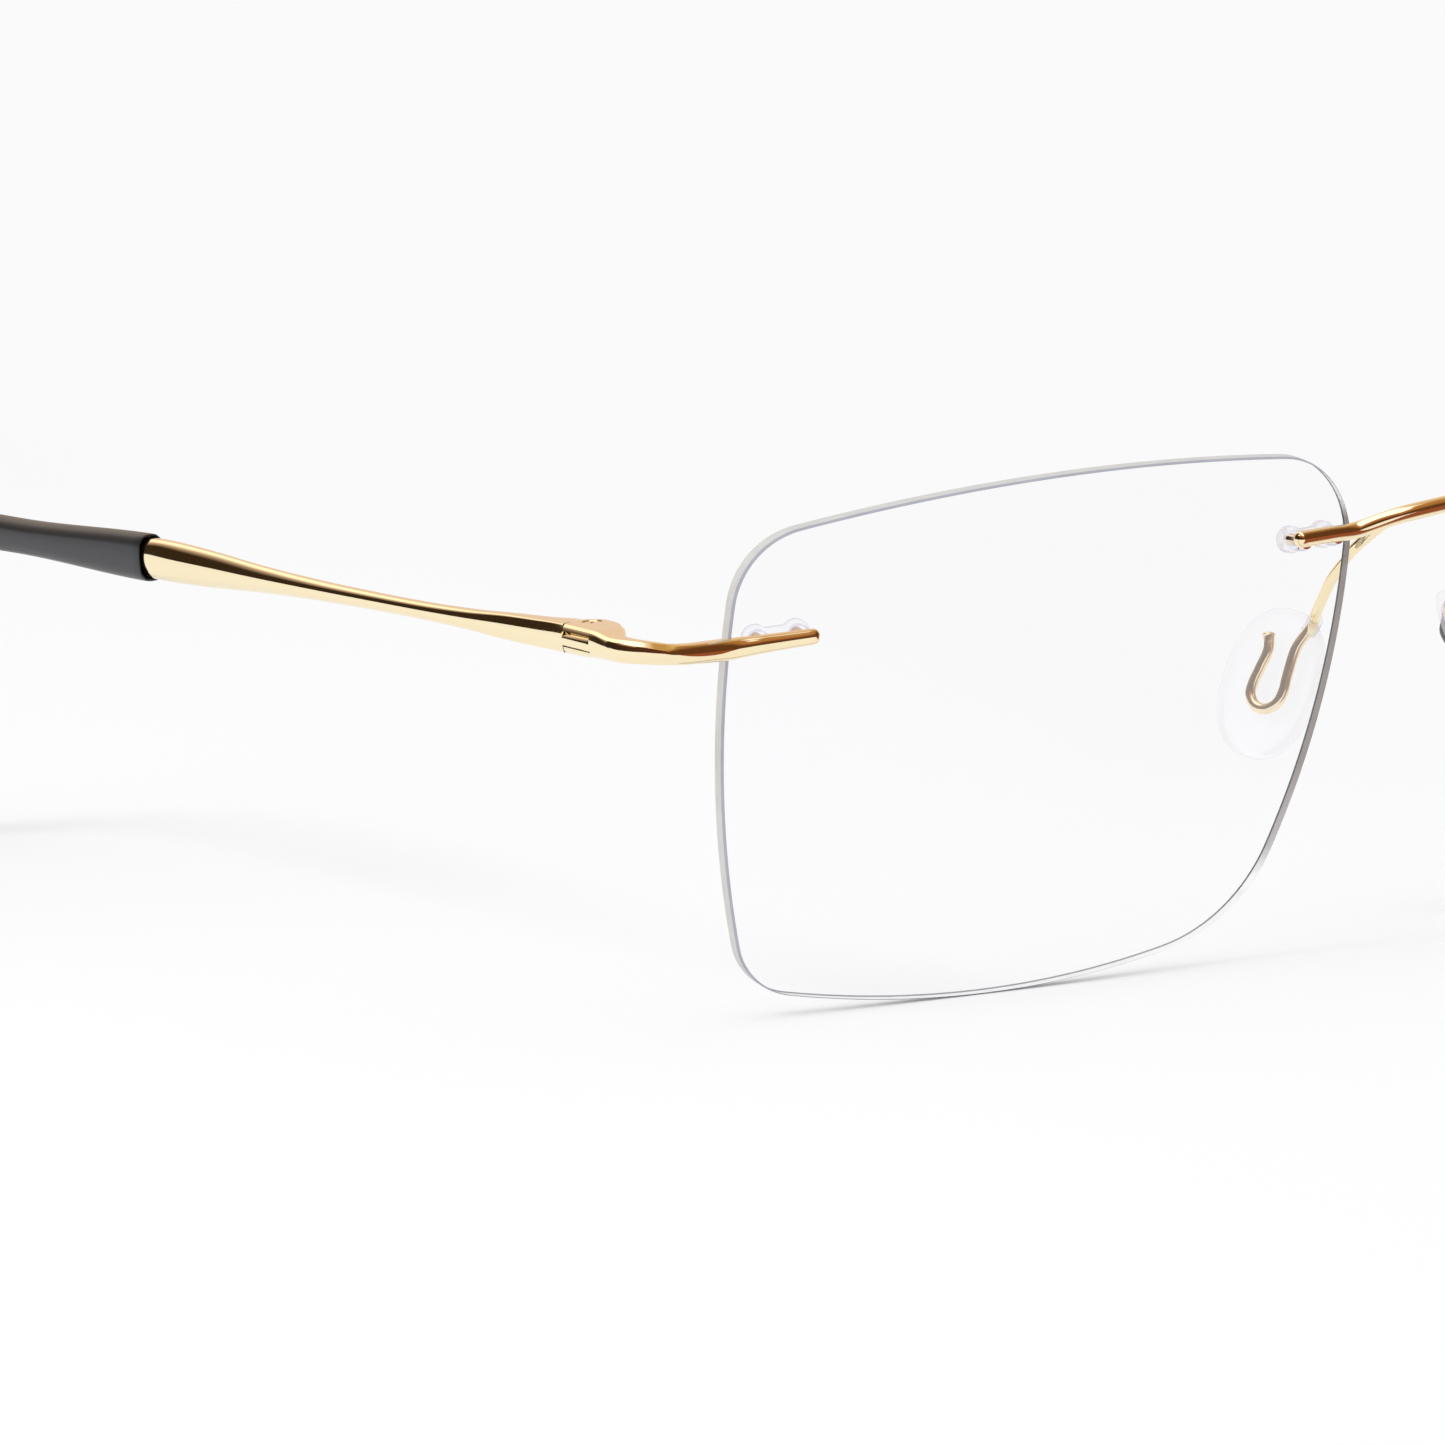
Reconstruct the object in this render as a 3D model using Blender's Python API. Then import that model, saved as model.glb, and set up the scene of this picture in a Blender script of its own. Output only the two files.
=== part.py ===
"""Rimless eyeglasses with lens-mounted bridge and end pieces, folding temples and U-wire nose pads.

Lengths are millimetres and angles are degrees; new_object() turns them into metres. +Z is up, +Y points
back along the temples, and x = 0 is the mirror plane. The glasses stand open, on the lower edges of the
lenses and the ends of the temple tips. The dimensions count y from the bridge; the finished object's origin
is on the table, in the middle of its footprint. Each piece is written for the wearer's right side, at
negative x, and the left side mirrors it.
"""

from math import atan2, ceil, cos, hypot, pi, radians, sin, sqrt, tan

import bmesh
import bpy
from mathutils import Matrix, Vector

# ---- Driving dimensions ------------------------------------------------------------------------------

MM = 0.001
ORIGIN_Y = 67.5  # from the bridge back to the middle of the footprint
SIDES = (("right", 1), ("left", -1))  # name, and what x is multiplied by

# Lens: four bowed sides between four corners, in the lens plane, u towards the nose and v up
LENS_CORNERS = (Vector((-24.2, 16.6)), Vector((28.1, 18.2)), Vector((17.35, -17.0)), Vector((-23.7, -18.0)))
LENS_BOWS = (2.5, 2.0, 2.5, 2.25)  # how far the top, nasal, bottom and temporal sides stand out
LENS_CORNER_RADII = (6.8, 6.7, 13.9, 5.4)
LENS_CENTRE_X = -35.3
LENS_CENTRE_Y = 0.8
LENS_CENTRE_Z = 19.65
LENS_WRAP = 1.7
LENS_TILT = 6.6
BASE_CURVE_RADIUS = 130.0
LENS_THICKNESS = 1.4
LENS_HOLE_RADIUS = 0.8

# Compression mounts: pairs of posts through the lens, each pair in one plastic sleeve with two plugs
TEMPORAL_MOUNT = (-21.6, 9.38, 3.8)  # u, v and the slope of the arm that it holds
NASAL_MOUNT = (24.3, 12.5, 1.0)
POST_SPACING = 3.15
POST_RADIUS = 0.45
POST_SOCKET_DEPTH = 0.4
POST_END_GAP = 0.02  # between the front end of a post and the bottom of its socket
SLEEVE_TUBE_RADIUS = 0.75
SLEEVE_BORE_RADIUS = 0.49
SLEEVE_LOBE_RADIUS = 1.05
SLEEVE_WEB_HALF_HEIGHT = 0.7
SLEEVE_BACK_THICKNESS = 0.95
SLEEVE_TUBE_ROOT = 0.3  # how far the tubes start inside the back of the sleeve
SLEEVE_BORE_DEPTH = 0.6  # how far the bores run into it
FIT_GAP = 0.05  # between pieces that touch
LOOSE_GAP = 0.03  # round a post in its socket and round the head of the screw
LENS_REST_GAP = 0.08  # between a straight arm and the curved lens under it
SLEEVE_REST_GAP = 0.14  # between the flat back of a sleeve and the hollow back of the lens

# Bridge: a round bar that lies on both lenses and arches between them
BRIDGE_RADIUS = 0.65
BRIDGE_RISE = 0.35  # how far its middle is above the posts
BRIDGE_ROD_END = 2.95  # from the middle of the nasal mount to the rounded end
BRIDGE_EDGE = 3.0  # from the middle of the mount to where the bar leaves the lens
BRIDGE_CENTRE = Vector((0.0, -0.4, 34.4))
BRIDGE_SHOULDER = Vector((-4.6, 0.15, 33.75))

# Nose pad: an oval in its own plane, w across and l down, swivelled and sloped to the side of the nose
PAD_CENTRE = Vector((-9.05, 13.4, 19.75))
PAD_SPLAY = 28.0
PAD_SLOPE = 20.0
PAD_OVAL_CENTRE = (-0.05, 0.1)
PAD_HALF_WIDTH = 4.25
PAD_HALF_LENGTH = 6.05
PAD_OVAL_TURN = -12.0
PAD_SQUARENESS = 2.2
PAD_FACES = ((-1.0, 0.9), (-0.7, 1.0), (0.15, 1.0), (0.65, 0.93), (0.95, 0.76), (1.1, 0.45))  # depth, scale
PAD_WIRE_RADIUS = 0.43
PAD_POCKET_RADIUS = 0.5
PAD_POCKET_END = 0.1  # past the end of the wire
PAD_ARM_TURNS = (  # from the bridge, back and down to the pad
    Vector((-5.6, 1.14, 32.72)),
    Vector((-6.3, 2.3, 31.95)),
    Vector((-6.75, 4.6, 30.3)),
    Vector((-6.95, 7.2, 28.3)),
    Vector((-6.85, 9.8, 25.6)),
)
PAD_WIRE_TURNS = (  # the U in the plane of the pad
    (-2.9, -4.7),
    (-1.75, -2.9),
    (-1.3, -0.7),
    (-1.15, 0.9),
    (0.3, 2.05),
    (1.85, 1.0),
    (1.35, -1.1),
    (0.75, -2.6),
    (1.0, -4.0),
)

# Hinge: the end piece is a fork, the temple a tongue, and a vertical screw joins them
PIVOT = Vector((-67.75, 12.3))
HINGE_OUTER_X = -70.2
HINGE_TOP_Z = 30.6
HINGE_BOTTOM_Z = 28.3
SHOULDER = 1.65  # from the pivot back to the slanted face of the temple
SEAM_ANGLE = 127.0  # the direction that the end of the fork and the shoulder face, in plan
FORK_RADIUS = 1.6  # the inner side and the end of the fork, about the pivot
SLOT_TOP_Z = 30.1
SLOT_BOTTOM_Z = 28.93
SLOT_REACH = 4.35  # how far the outer part of the slot runs forward of the pivot
SLOT_BACK = 1.5  # how far forward of the pivot it is open right across
TONGUE_RADIUS = 1.4
TONGUE_STRIP = 1.5
TONGUE_ROOT = 1.0  # how far the tongue runs into the temple, past the shoulder
TONGUE_END_GAP = 0.1  # in front of the strip and beside it
TONGUE_SHOULDER = ((0.83, 0.56), (0.43, 1.1))  # from the knuckle to the temple, in knuckle radii
TONGUE_CORNER = 0.3  # the corners of the strip's front end
SCREW_RADIUS = 0.5
SCREW_HOLE_RADIUS = 0.53
SCREW_HEAD_RADIUS = 0.74
SCREW_HEAD_HEIGHT = 0.22
SCREW_SLOT_WIDTH = 0.24
SCREW_SLOT_DEPTH = 0.14
SCREW_SINK = 0.04  # how far the head lies below the top of the fork

# End piece arm, from its tip on the lens to the hinge: (x, y, z), half width, half height, squareness
ARM_TIP = 2.75  # from the middle of the temporal mount to the rounded end
ARM_TIP_RADIUS = 0.6
ARM_MIDDLE = -1.6
ARM_MIDDLE_RADIUS = 0.7
ARM_EDGE = -4.75
ARM_EDGE_RADIUS = 0.82
ARM_CORNER = (
    (Vector((-65.8, 1.85, 29.05)), 0.83, 0.79, 2.4),
    (Vector((-68.1, 2.72, 29.32)), 0.88, 0.86, 3.0),
)
BLOCK_START_Y = 4.9
ARM_WIDTH = 1.8
FORK_CURVE = (3.6, 11.2)  # y where the inner side begins to widen and where it is widest
BLOCK_FALL = (8.2, 0.25)  # the flat top falls by the second number from this y forward
BLOCK_LIFT = (11.5, 0.25)  # and the underside rises
BLOCK_SQUARENESS = (5.0, 9.0)  # where the block meets the arm, and at its back end
END_PIECE_CREST = 1.08  # the section is drawn this much too high and cut off flat

# Temple: distance behind the shoulder, height, width and squareness of its section
TEMPLE_SPLAY = 4.8
TEMPLE_SLOPE = -0.1
TEMPLE_FRONT = (-SHOULDER, 2.3, 2.9, 6)  # the end that the slanted face is cut from
TEMPLE_SECTIONS = (
    (0.0, 2.3, 2.9, 6.0),
    (3.0, 2.25, 2.1, 6.0),
    (8.0, 2.07, 1.55, 5.0),
    (14.0, 1.62, 1.4, 4.0),
    (21.0, 1.38, 1.35, 3.5),
    (29.0, 1.4, 1.35, 3.5),
    (38.0, 1.62, 1.4, 3.5),
    (47.0, 2.15, 1.5, 3.5),
    (55.0, 2.9, 1.7, 3.5),
    (61.0, 3.35, 1.85, 3.5),
    (66.2, 3.55, 1.95, 3.5),
)
TEMPLE_LENGTH = TEMPLE_SECTIONS[-1][0]

# Temple tip: a sleeve over the wire core, bent down behind the ear
TIP_BEND_START = 93.5
TIP_DROP = 0.3  # how far the straight part sinks before the bend
TIP_GAP = 0.13  # between the square end of the temple and the splayed tip
TIP_BEND_RADIUS = 20.0
TIP_BEND_ANGLE = 60.0
TIP_SECTIONS = (  # share of its length, height and thickness
    (0.0, 3.85, 2.35),
    (0.33, 2.9, 2.3),
    (0.55, 3.1, 2.3),
    (0.8, 4.2, 2.2),
    (1.0, 3.8, 2.0),
)
TIP_SQUARENESS = 2.8
CORE_RADIUS = 0.6
CORE_BORE_RADIUS = 0.72
CORE_END = 14.0  # from the end of the tip
CORE_ROOT = 1.5  # how far the core runs forward into the temple
CORE_END_GAP = 0.3  # between the end of the core and the bottom of its bore
TIP_END_Z = 0.44  # of the middle of its rounded end, so that the end rests on the table

# How finely round shapes are divided
LENS_STEPS = 8
LENS_RINGS = (1.0, 0.7, 0.35)
ROUND = 12
FINE_ROUND = 16
POST_ROUND = 12
WIRE_ROUND = 8
WIRE_STEPS = 2
PAD_ROUND = 28
DOME_ANGLES = (30, 58, 80)  # of the rings in a rounded end
BLOCK_STEPS = 11
FORK_STEPS = 6
KNUCKLE_STEPS = 14
TIP_STEPS = (6, 8, 8)  # before, round and after the ear bend
SHARP_ANGLE = 35.0  # edges that turn by more than this look sharp
CLEAR = 1.0  # how far a cutter reaches past the material
FAR = 8.0  # and where nothing is near it


# ---- Small geometry helpers ----------------------------------------------------------------------------


def along(points, steps):
    """A smooth line through the points: a Catmull-Rom spline with the given steps in each span."""
    points = [Vector(point) for point in points]
    padded = [2 * points[0] - points[1]] + points + [2 * points[-1] - points[-2]]
    line = []
    for before, start, end, after in zip(padded, padded[1:], padded[2:], padded[3:]):
        for step in range(steps):
            t = step / steps
            line.append(
                0.5 * (2 * start + (end - before) * t + (2 * before - 5 * start + 4 * end - after) * t**2
                       + (3 * start - before - 3 * end + after) * t**3)
            )
    return line + [points[-1]]


def section(count, half_width, half_height, squareness=2.0):
    """Points of a superellipse: 2 is an ellipse, and a larger squareness is nearer a rectangle."""
    points = []
    for i in range(count):
        c, s = cos(2 * pi * i / count), sin(2 * pi * i / count)
        x = abs(c) ** (2 / squareness) * half_width
        y = abs(s) ** (2 / squareness) * half_height
        points.append((x if c >= 0 else -x, y if s >= 0 else -y))
    return points


def sweep(line, sizes, up=Vector((0, 0, 1)), count=ROUND, round_start=False, round_end=False):
    """Rings along a line. sizes gives half width, half height and squareness at each of its points."""
    rings = []
    stations = []
    for i, point in enumerate(line):
        tangent = (line[min(i + 1, len(line) - 1)] - line[max(i - 1, 0)]).normalized()
        stations.append((point, tangent, sizes[i]))
    for at_end, wanted in ((False, round_start), (True, round_end)):
        if not wanted:
            continue
        point, tangent, (wide, high, square) = stations[-1 if at_end else 0]
        reach = min(wide, high)
        base = point - tangent * reach * (1 if at_end else -1)
        dome = []
        for angle in DOME_ANGLES:
            share = cos(radians(angle))
            out = base + tangent * reach * sin(radians(angle)) * (1 if at_end else -1)
            dome.append((out, tangent, (wide * share, high * share, square)))
        if at_end:
            stations = [s for s in stations if (s[0] - point).length > reach] + [
                (base, tangent, (wide, high, square))] + dome
        else:
            stations = dome[::-1] + [(base, tangent, (wide, high, square))] + [
                s for s in stations if (s[0] - point).length > reach]
    for point, tangent, (wide, high, square) in stations:
        side = tangent.cross(up).normalized()
        rise = side.cross(tangent)
        rings.append([point + side * a + rise * b for a, b in section(count, wide, high, square)])
    return rings


def round_sweep(line, radius, **options):
    return sweep(line, [(radius, radius, 2.0)] * len(line), **options)


def skin(rings):
    """Vertices and faces of a closed body: quads between rings, and a flat face on each end."""
    count = len(rings[0])
    vertices = [point for ring in rings for point in ring]
    faces = [list(range(count)), list(range(len(vertices) - count, len(vertices)))]
    for row in range(len(rings) - 1):
        for i in range(count):
            j = (i + 1) % count
            first, second = row * count, (row + 1) * count
            faces.append([first + i, first + j, second + j, second + i])
    return vertices, faces


def prism(outline, place, low, high):
    """A flat outline, extruded from low to high along the third axis of a placement matrix."""
    return skin([[place @ Vector((x, y, z)) for x, y in outline] for z in (low, high)])


def cylinder(place, radius, low, high, count=POST_ROUND):
    return prism(section(count, radius, radius), place, low, high)


def merged(*bodies):
    """Several closed bodies as one vertex and face list, for a cutter."""
    vertices, faces = [], []
    for body_vertices, body_faces in bodies:
        faces += [[i + len(vertices) for i in face] for face in body_faces]
        vertices += body_vertices
    return vertices, faces


def placement(origin, x_axis, z_axis):
    """A matrix with its origin and its x and z axes where they are asked for."""
    z_axis = z_axis.normalized()
    x_axis = (x_axis - z_axis * x_axis.dot(z_axis)).normalized()
    turn = Matrix((x_axis, z_axis.cross(x_axis), z_axis)).transposed().to_4x4()
    return Matrix.Translation(origin) @ turn


# ---- Objects, materials and cuts -----------------------------------------------------------------------


def material(name, colour, roughness, metallic=0.0, transmission=0.0):
    made = bpy.data.materials.new(name)
    made.use_nodes = True
    shader = made.node_tree.nodes["Principled BSDF"]
    shader.inputs["Base Color"].default_value = (*colour, 1.0)
    shader.inputs["Roughness"].default_value = roughness
    shader.inputs["Metallic"].default_value = metallic
    shader.inputs["Transmission Weight"].default_value = transmission
    made.diffuse_color = (*colour, 1.0)
    return made


def new_object(name, body, finish, mirror=1, parent=None):
    """An object in metres from a millimetre vertex and face list, mirrored in x where mirror is -1."""
    vertices, faces = body
    mesh = bpy.data.meshes.new(name)
    points = [(v.x * mirror * MM, (v.y - ORIGIN_Y) * MM, v.z * MM) for v in vertices]
    mesh.from_pydata(points, [], faces)
    shape = bmesh.new()
    shape.from_mesh(mesh)
    bmesh.ops.recalc_face_normals(shape, faces=shape.faces)
    if shape.calc_volume(signed=True) < 0:
        bmesh.ops.reverse_faces(shape, faces=shape.faces)
    shape.to_mesh(mesh)
    shape.free()
    mesh.shade_smooth()
    mesh.set_sharp_from_angle(angle=radians(SHARP_ANGLE))
    obj = bpy.data.objects.new(name, mesh)
    bpy.context.collection.objects.link(obj)
    obj.data.materials.append(finish)
    if parent:
        obj.parent = parent
        obj.matrix_parent_inverse = Matrix.Translation(parent.location).inverted()
    return obj


def combine(target, operation, name, body, mirror=1):
    """Cuts a body from the target, or joins one to it, with a Boolean modifier and a hidden helper."""
    helper = new_object(name, body, target.data.materials[0], mirror, target.parent)
    helper.hide_render = True
    helper.display_type = "WIRE"
    step = target.modifiers.new(name, "BOOLEAN")
    step.operation = operation
    step.object = helper


# ---- Lens ------------------------------------------------------------------------------------------------


def bow_circle(start, end, bow):
    """Centre and radius of the arc from start to end that stands out by bow, to the left of the chord."""
    chord = end - start
    radius = (chord.length**2 / 4 + bow**2) / (2 * bow)
    left = Vector((-chord.y, chord.x)).normalized()
    return (start + end) / 2 + left * (bow - radius), radius


def fillet_centre(side, following, radius, corner):
    """The centre of a corner circle that touches two bowed sides from inside."""
    (p, p_radius), (q, q_radius) = side, following
    a, b = p_radius - radius, q_radius - radius
    gap = (q - p).length
    reach = (gap**2 + a**2 - b**2) / (2 * gap)
    height = sqrt(a**2 - reach**2)
    direction = (q - p) / gap
    across = Vector((-direction.y, direction.x))
    options = [p + direction * reach + across * height * sign for sign in (1, -1)]
    return min(options, key=lambda option: (option - corner).length)


def arc(centre, radius, start, end, steps):
    """Points of the shorter arc between two directions, without its last point."""
    first = atan2(start.y - centre.y, start.x - centre.x)
    turn = atan2(end.y - centre.y, end.x - centre.x) - first
    turn = (turn + pi) % (2 * pi) - pi
    angles = [first + turn * i / steps for i in range(steps)]
    return [centre + Vector((cos(angle), sin(angle))) * radius for angle in angles]


def lens_outline(steps):
    """The lens edge in its own plane: each side's arc, then the corner's arc."""
    corners = LENS_CORNERS
    sides = [bow_circle(corners[i], corners[(i + 1) % 4], LENS_BOWS[i]) for i in range(4)]
    fillets = [fillet_centre(sides[i - 1], sides[i], LENS_CORNER_RADII[i], corners[i]) for i in range(4)]

    def touch(side, fillet):
        centre, radius = side
        return centre + (fillet - centre).normalized() * radius

    outline = []
    for i in range(4):
        after = (i + 1) % 4
        start, end = touch(sides[i], fillets[i]), touch(sides[i], fillets[after])
        next_start = touch(sides[after], fillets[after])
        outline += arc(*sides[i], start, end, steps)
        outline += arc(fillets[after], LENS_CORNER_RADII[after], end, next_start, steps)
    return outline


def lens_frame():
    """The lens plane's nasal, up and front directions."""
    wrap, tilt = radians(LENS_WRAP), radians(LENS_TILT)
    nasal = Vector((cos(wrap), -sin(wrap), 0))
    front = Vector((-sin(wrap) * cos(tilt), -cos(wrap) * cos(tilt), -sin(tilt)))
    return nasal, nasal.cross(front) * -1, front


def lens_point(u, v, depth=0.0):
    """A point on the front of the lens, or at a depth behind it."""
    nasal, rise, front = lens_frame()
    sag = BASE_CURVE_RADIUS - sqrt(BASE_CURVE_RADIUS**2 - u**2 - v**2)
    centre = Vector((LENS_CENTRE_X, LENS_CENTRE_Y, LENS_CENTRE_Z))
    return centre + nasal * u + rise * v - front * (sag + depth)


def mount_place(mount):
    """Where a mount sits: x along its arm towards the nose, z straight out of the front of the lens."""
    u, v, slope = mount
    nasal, rise, front = lens_frame()
    origin = lens_point(u, v)
    sphere_centre = lens_point(0, 0) - front * BASE_CURVE_RADIUS
    direction = nasal * cos(radians(slope)) + rise * sin(radians(slope))
    return placement(origin, direction, origin - sphere_centre)


def post_places(mount):
    shift = POST_SPACING / 2
    return [mount_place(mount) @ Matrix.Translation((x, 0, 0)) for x in (-shift, shift)]


def lens(name, mirror, clear):
    outline = lens_outline(LENS_STEPS)
    count = len(outline)
    rows = [(scale, 0.0) for scale in reversed(LENS_RINGS)]
    rows += [(scale, LENS_THICKNESS) for scale in LENS_RINGS]
    rings = [[lens_point(p.x * scale, p.y * scale, depth) for p in outline] for scale, depth in rows]
    vertices, faces = skin(rings)
    for first, depth in ((0, 0.0), (len(vertices) - count, LENS_THICKNESS)):
        middle = len(vertices)
        vertices.append(lens_point(0, 0, depth))
        faces += [[first + i, first + (i + 1) % count, middle] for i in range(count)]
    obj = new_object(name, (vertices, faces[2:]), clear, mirror)
    holes = [
        cylinder(place, LENS_HOLE_RADIUS, -LENS_THICKNESS - CLEAR, CLEAR)
        for mount in (TEMPORAL_MOUNT, NASAL_MOUNT)
        for place in post_places(mount)
    ]
    combine(obj, "DIFFERENCE", name + "_holes", merged(*holes), mirror)


# ---- Compression mounts ----------------------------------------------------------------------------------


def dumbbell():
    """Two round lobes and the narrower web between them, as one outline."""
    shift = POST_SPACING / 2
    meet = sqrt(SLEEVE_LOBE_RADIUS**2 - SLEEVE_WEB_HALF_HEIGHT**2)
    open_angle = atan2(SLEEVE_WEB_HALF_HEIGHT, meet)
    outline = []
    for centre, facing in ((shift, 0.0), (-shift, pi)):
        reach = pi - open_angle
        for i in range(FINE_ROUND + 1):
            angle = facing - reach + 2 * reach * i / FINE_ROUND
            outline.append((centre + SLEEVE_LOBE_RADIUS * cos(angle), SLEEVE_LOBE_RADIUS * sin(angle)))
    return outline


def sleeve(name, mount, mirror, clear):
    place = mount_place(mount)
    back = -LENS_THICKNESS - SLEEVE_REST_GAP
    obj = new_object(name, prism(dumbbell(), place, back - SLEEVE_BACK_THICKNESS, back), clear, mirror)
    tubes = [cylinder(at, SLEEVE_TUBE_RADIUS, back - SLEEVE_TUBE_ROOT, -FIT_GAP) for at in post_places(mount)]
    bores = [cylinder(at, SLEEVE_BORE_RADIUS, back - SLEEVE_BORE_DEPTH, CLEAR) for at in post_places(mount)]
    combine(obj, "UNION", name + "_tubes", merged(*tubes), mirror)
    combine(obj, "DIFFERENCE", name + "_bores", merged(*bores), mirror)


def posts(side, site, mount, mirror, gold):
    labels = ("outer", "inner") if site == "temporal" else ("inner", "outer")
    front = LENS_REST_GAP + POST_SOCKET_DEPTH - POST_END_GAP
    for label, place in zip(labels, post_places(mount)):
        body = cylinder(place, POST_RADIUS, -LENS_THICKNESS - SLEEVE_BORE_DEPTH, front)
        new_object(f"{side}_{site}_post_{label}", body, gold, mirror)


def post_sockets(mount):
    bottom = LENS_REST_GAP + POST_SOCKET_DEPTH
    return merged(*[cylinder(place, POST_RADIUS + LOOSE_GAP, -CLEAR, bottom) for place in post_places(mount)])


# ---- Bridge, pad arms and nose pads ----------------------------------------------------------------------


def bridge_line():
    """The right half of the bar's centre line, from its rounded end to the middle."""
    place = mount_place(NASAL_MOUNT)
    rise = BRIDGE_RADIUS + LENS_REST_GAP
    end, middle, edge = (place @ Vector((x, BRIDGE_RISE, rise)) for x in (-BRIDGE_ROD_END, 0, BRIDGE_EDGE))
    return along([end, middle, edge, BRIDGE_SHOULDER, BRIDGE_CENTRE], 3)


def flipped(point):
    return Vector((-point.x, point.y, point.z))


def bridge(gold):
    half = bridge_line()
    line = half + [flipped(point) for point in reversed(half[:-1])]
    rings = round_sweep(line, BRIDGE_RADIUS, count=FINE_ROUND, round_start=True, round_end=True)
    obj = new_object("bridge_bar", skin(rings), gold)
    for side, mirror in SIDES:
        combine(obj, "DIFFERENCE", f"bridge_bar_{side}_sockets", post_sockets(NASAL_MOUNT), mirror)


def pad_axes():
    """Across the pad, down the pad, and out of its face towards the nose."""
    splay, slope = radians(PAD_SPLAY), radians(PAD_SLOPE)
    inward = Vector((cos(splay), sin(splay), 0))
    across = Vector((-sin(splay), cos(splay), 0))
    down = -sin(slope) * inward - cos(slope) * Vector((0, 0, 1))
    face = cos(slope) * inward - sin(slope) * Vector((0, 0, 1))
    return across, down, face


def pad_point(w, l, depth=0.0):
    across, down, face = pad_axes()
    return PAD_CENTRE + across * w + down * l + face * depth


def pad_wire_line():
    return along(list(PAD_ARM_TURNS) + [pad_point(w, l) for w, l in PAD_WIRE_TURNS], WIRE_STEPS)


def pad_arm(name, mirror, gold):
    rings = round_sweep(pad_wire_line(), PAD_WIRE_RADIUS, up=pad_axes()[2], count=WIRE_ROUND, round_end=True)
    new_object(name, skin(rings), gold, mirror)


def nose_pad(name, mirror, silicone):
    turn = radians(PAD_OVAL_TURN)
    oval = []
    for a, b in section(PAD_ROUND, PAD_HALF_WIDTH, PAD_HALF_LENGTH, PAD_SQUARENESS):
        oval.append((a * cos(turn) - b * sin(turn), a * sin(turn) + b * cos(turn)))
    w, l = PAD_OVAL_CENTRE
    rings = [[pad_point(w + a * scale, l + b * scale, depth) for a, b in oval] for depth, scale in PAD_FACES]
    obj = new_object(name, skin(rings), silicone, mirror)
    line = pad_wire_line()[(len(PAD_ARM_TURNS) - 2) * WIRE_STEPS:]
    line.append(line[-1] + (line[-1] - line[-2]).normalized() * PAD_POCKET_END)
    pocket = round_sweep(line, PAD_POCKET_RADIUS, up=pad_axes()[2], count=WIRE_ROUND, round_end=True)
    combine(obj, "DIFFERENCE", name + "_pocket", skin(pocket), mirror)


# ---- End pieces and hinge --------------------------------------------------------------------------------


def fork_inner_x(y):
    """The inner side of the end piece: an S-curve out from the arm, then round the pivot."""
    widest = PIVOT.x + FORK_RADIUS
    if y >= PIVOT.y:
        return PIVOT.x + sqrt(FORK_RADIUS**2 - (y - PIVOT.y) ** 2)
    narrow = HINGE_OUTER_X + ARM_WIDTH
    start, end = FORK_CURVE
    t = min(max((y - start) / (end - start), 0), 1)
    return narrow + (widest - narrow) * t * t * (3 - 2 * t)


def eased(y, start):
    """0 behind the start, and 1 where the block meets the arm."""
    t = min(max((start - y) / (start - BLOCK_START_Y), 0), 1)
    return t * t * (3 - 2 * t)


def block_height(y):
    """The bottom and the top of the block at a place along it."""
    (fall_y, fall), (lift_y, lift) = BLOCK_FALL, BLOCK_LIFT
    return HINGE_BOTTOM_Z + lift * eased(y, lift_y), HINGE_TOP_Z - fall * eased(y, fall_y)


def end_piece_rings():
    place = mount_place(TEMPORAL_MOUNT)
    tip = place @ Vector((ARM_TIP, 0, ARM_TIP_RADIUS + LENS_REST_GAP))
    middle = place @ Vector((ARM_MIDDLE, 0, ARM_MIDDLE_RADIUS + LENS_REST_GAP))
    edge = place @ Vector((ARM_EDGE, 0, ARM_EDGE_RADIUS + LENS_REST_GAP))
    low, high = block_height(BLOCK_START_Y)
    half_width = (fork_inner_x(BLOCK_START_Y) - HINGE_OUTER_X) / 2
    block_start = Vector((HINGE_OUTER_X + half_width, BLOCK_START_Y, (low + high) / 2))
    keys = [
        (tip, ARM_TIP_RADIUS, ARM_TIP_RADIUS, 2.0),
        (middle, ARM_MIDDLE_RADIUS, ARM_MIDDLE_RADIUS, 2.0),
        (edge, ARM_EDGE_RADIUS, ARM_EDGE_RADIUS, 2.0),
        *ARM_CORNER,
    ]
    keys += [(block_start, half_width, (high - low) / 2, BLOCK_SQUARENESS[0])]
    line = along([point for point, *_ in keys], 4)
    sizes = along([Vector(size) for _, *size in keys], 4)
    rings = sweep(line, sizes, count=FINE_ROUND, round_start=True)[:-1]
    back_y = PIVOT.y + FORK_RADIUS
    square_start, square_end = BLOCK_SQUARENESS
    for i in range(BLOCK_STEPS + 1):
        y = BLOCK_START_Y + (back_y - BLOCK_START_Y) * sin(pi / 2 * i / BLOCK_STEPS)
        square = square_start + (square_end - square_start) * i / BLOCK_STEPS
        low, high = block_height(y)
        half_height = (high - low) / 2
        wide = (fork_inner_x(y) - HINGE_OUTER_X) / 2
        centre = Vector((HINGE_OUTER_X + wide, y, (low + high) / 2))
        outline = section(FINE_ROUND, wide, half_height * END_PIECE_CREST, square)
        rings.append([centre + Vector((a, 0, min(max(b, -half_height), half_height))) for a, b in outline])
    return rings


def hinge_place(z=0.0):
    return Matrix.Translation((PIVOT.x, PIVOT.y, z))


def rectangle(x_low, x_high, y_low, y_high):
    return [(x_low, y_low), (x_high, y_low), (x_high, y_high), (x_low, y_high)]


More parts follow.
